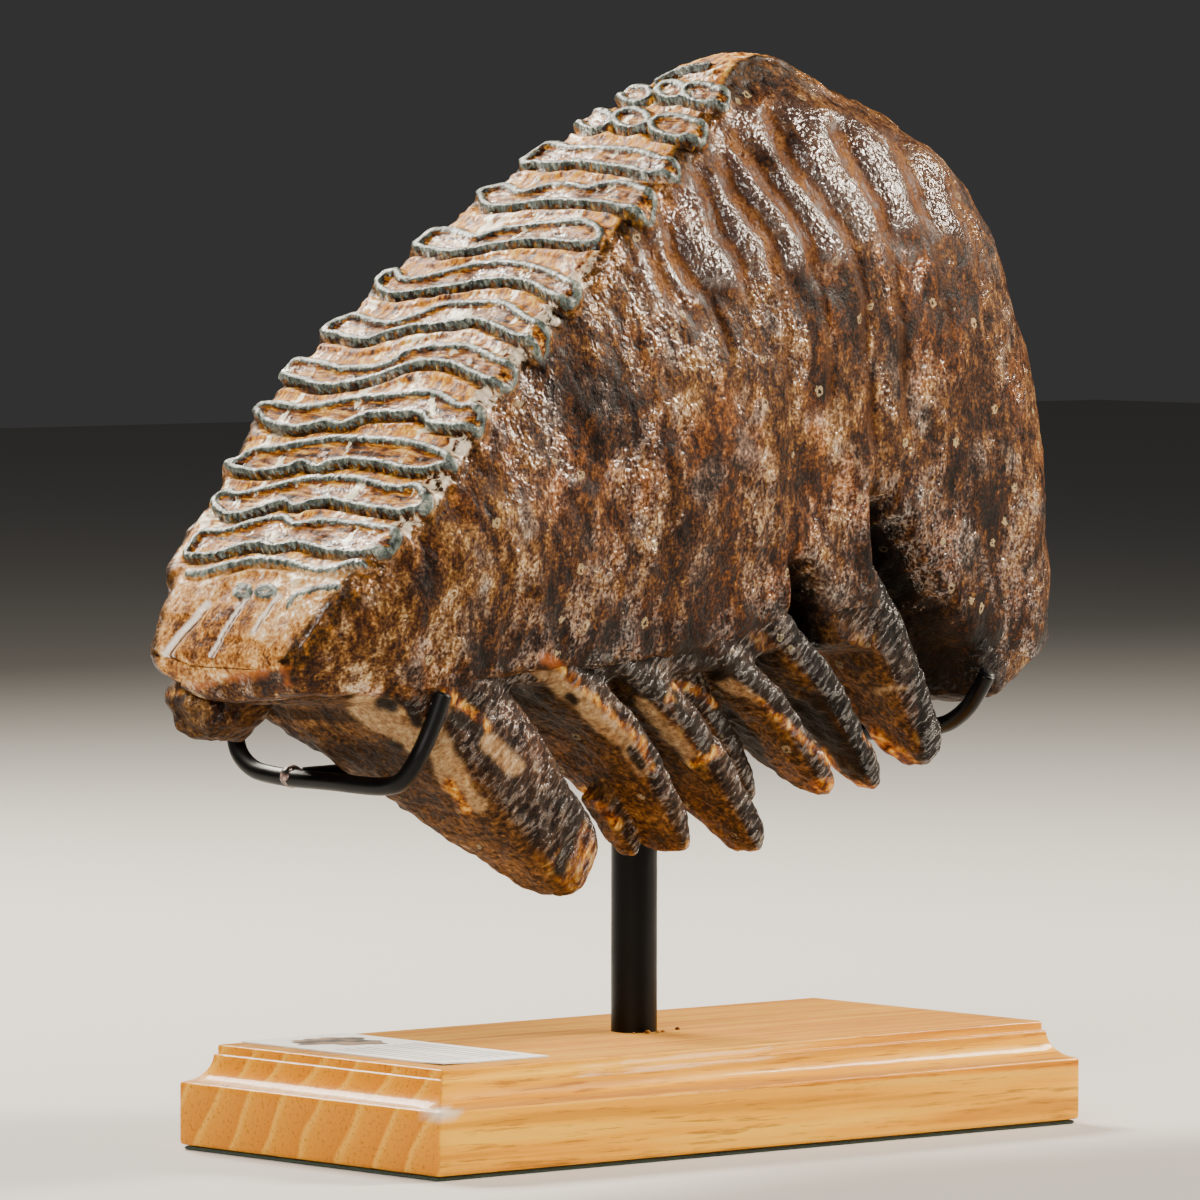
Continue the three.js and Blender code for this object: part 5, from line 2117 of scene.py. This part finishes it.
    def numbers(self, points: Points, normals: Points) -> dict[str, Points]:
        """Numbers that the finish reads at each vertex, from the roots' own faces and from the stains.

        Args:
            points: Vertices (n, 3) of the tooth's frame.
            normals: The outward directions there.

        Returns:
            The numbers by name, from 0 to 1.
        """
        best = np.full(len(points), 9.0)
        under = smooth_step(-normals[:, 2], 0.3, 0.7)
        cloud = smooth_step(noise(points, 11, 51, 2), -0.3, 0.3)
        # shade is painted shade: half on faces that look down, on front faces near the crown, and in the
        # hollow
        out = {"root": np.full(len(points), 0.3), "brown": under, "amber": np.zeros(len(points)),
               "shade": 0.5 * under}
        s = np.linspace(0, 1, 41)
        for root in self.form.roots:
            measures = root.along(s)
            near = np.argmin(((points[:, None, [0, 2]] - measures[0]) ** 2).sum(-1), axis=1)
            centre, ahead, outer, inner, thick = (part[near] for part in measures)
            offset = points[:, [0, 2]] - centre
            at = s[near]
            # v runs from -1 on the face that looks forward to 1, and u from -1 at the inner edge to 1
            v = (-ahead[:, 1] * offset[:, 0] + ahead[:, 0] * offset[:, 1]) / thick
            u = (points[:, 1] - (outer + inner) / 2) / (outer - inner) * 2
            fit = np.maximum(np.abs(u), np.abs(v))
            mine = (fit < best) & (fit < 1.6) & (at > 0.02)
            best = np.where(mine, fit, best)
            reach = smooth_step(at, 0.04, 0.2)
            front = smooth_step(-v, 0.5, 0.8) * smooth_step(u, 1.0, 0.85) * reach
            rim = smooth_step(-v, 0.55, 0.85) * smooth_step(u, 0.75, 0.9) * reach * cloud
            rim = rim * (1.0 if root.row is RootRow.TONGUE else 0.3)
            flat = smooth_step(-u, 0.8, 1.0) * smooth_step(at, 0.1, 0.3)
            for name, value in (("root", smooth_step(at, 0.03, 0.16)),
                                ("brown", np.maximum(front, 0.7 * flat)),
                                ("amber", np.maximum(rim, 0.5 * cloud * smooth_step(at, 0.96, 1.0))),
                                ("shade", front * smooth_step(at, 0.55, 0.1) * 0.85)):
                out[name] = np.where(mine, value, out[name])
        for name, value in self.stains.read(points, normals).items():
            out[name] = np.maximum(out.get(name, 0), value)
        hollow = self.form.hollow_depth(points[:, 0], points[:, 2]) * smooth_step(points[:, 1], 5, -5)
        clean = (1 - out["cream"]) * (1 - out["amber"])
        out["shade"] = np.maximum(out["shade"], smooth_step(hollow, 1, 6) * 0.97) * clean
        return out


def main() -> None:
    """Builds the camera, the stage, the stand and the tooth."""
    camera = StudioCamera()
    camera.build()
    Studio().build()
    DisplayStand().build()
    form = MolarForm()
    stains = ToothStains(form, camera)
    MolarCrown(form, ChewingSurface(form, camera), stains).build()
    MolarRoots(form, stains).build()


if __name__ == "__main__":
    logging.basicConfig(level=logging.INFO)
    main()
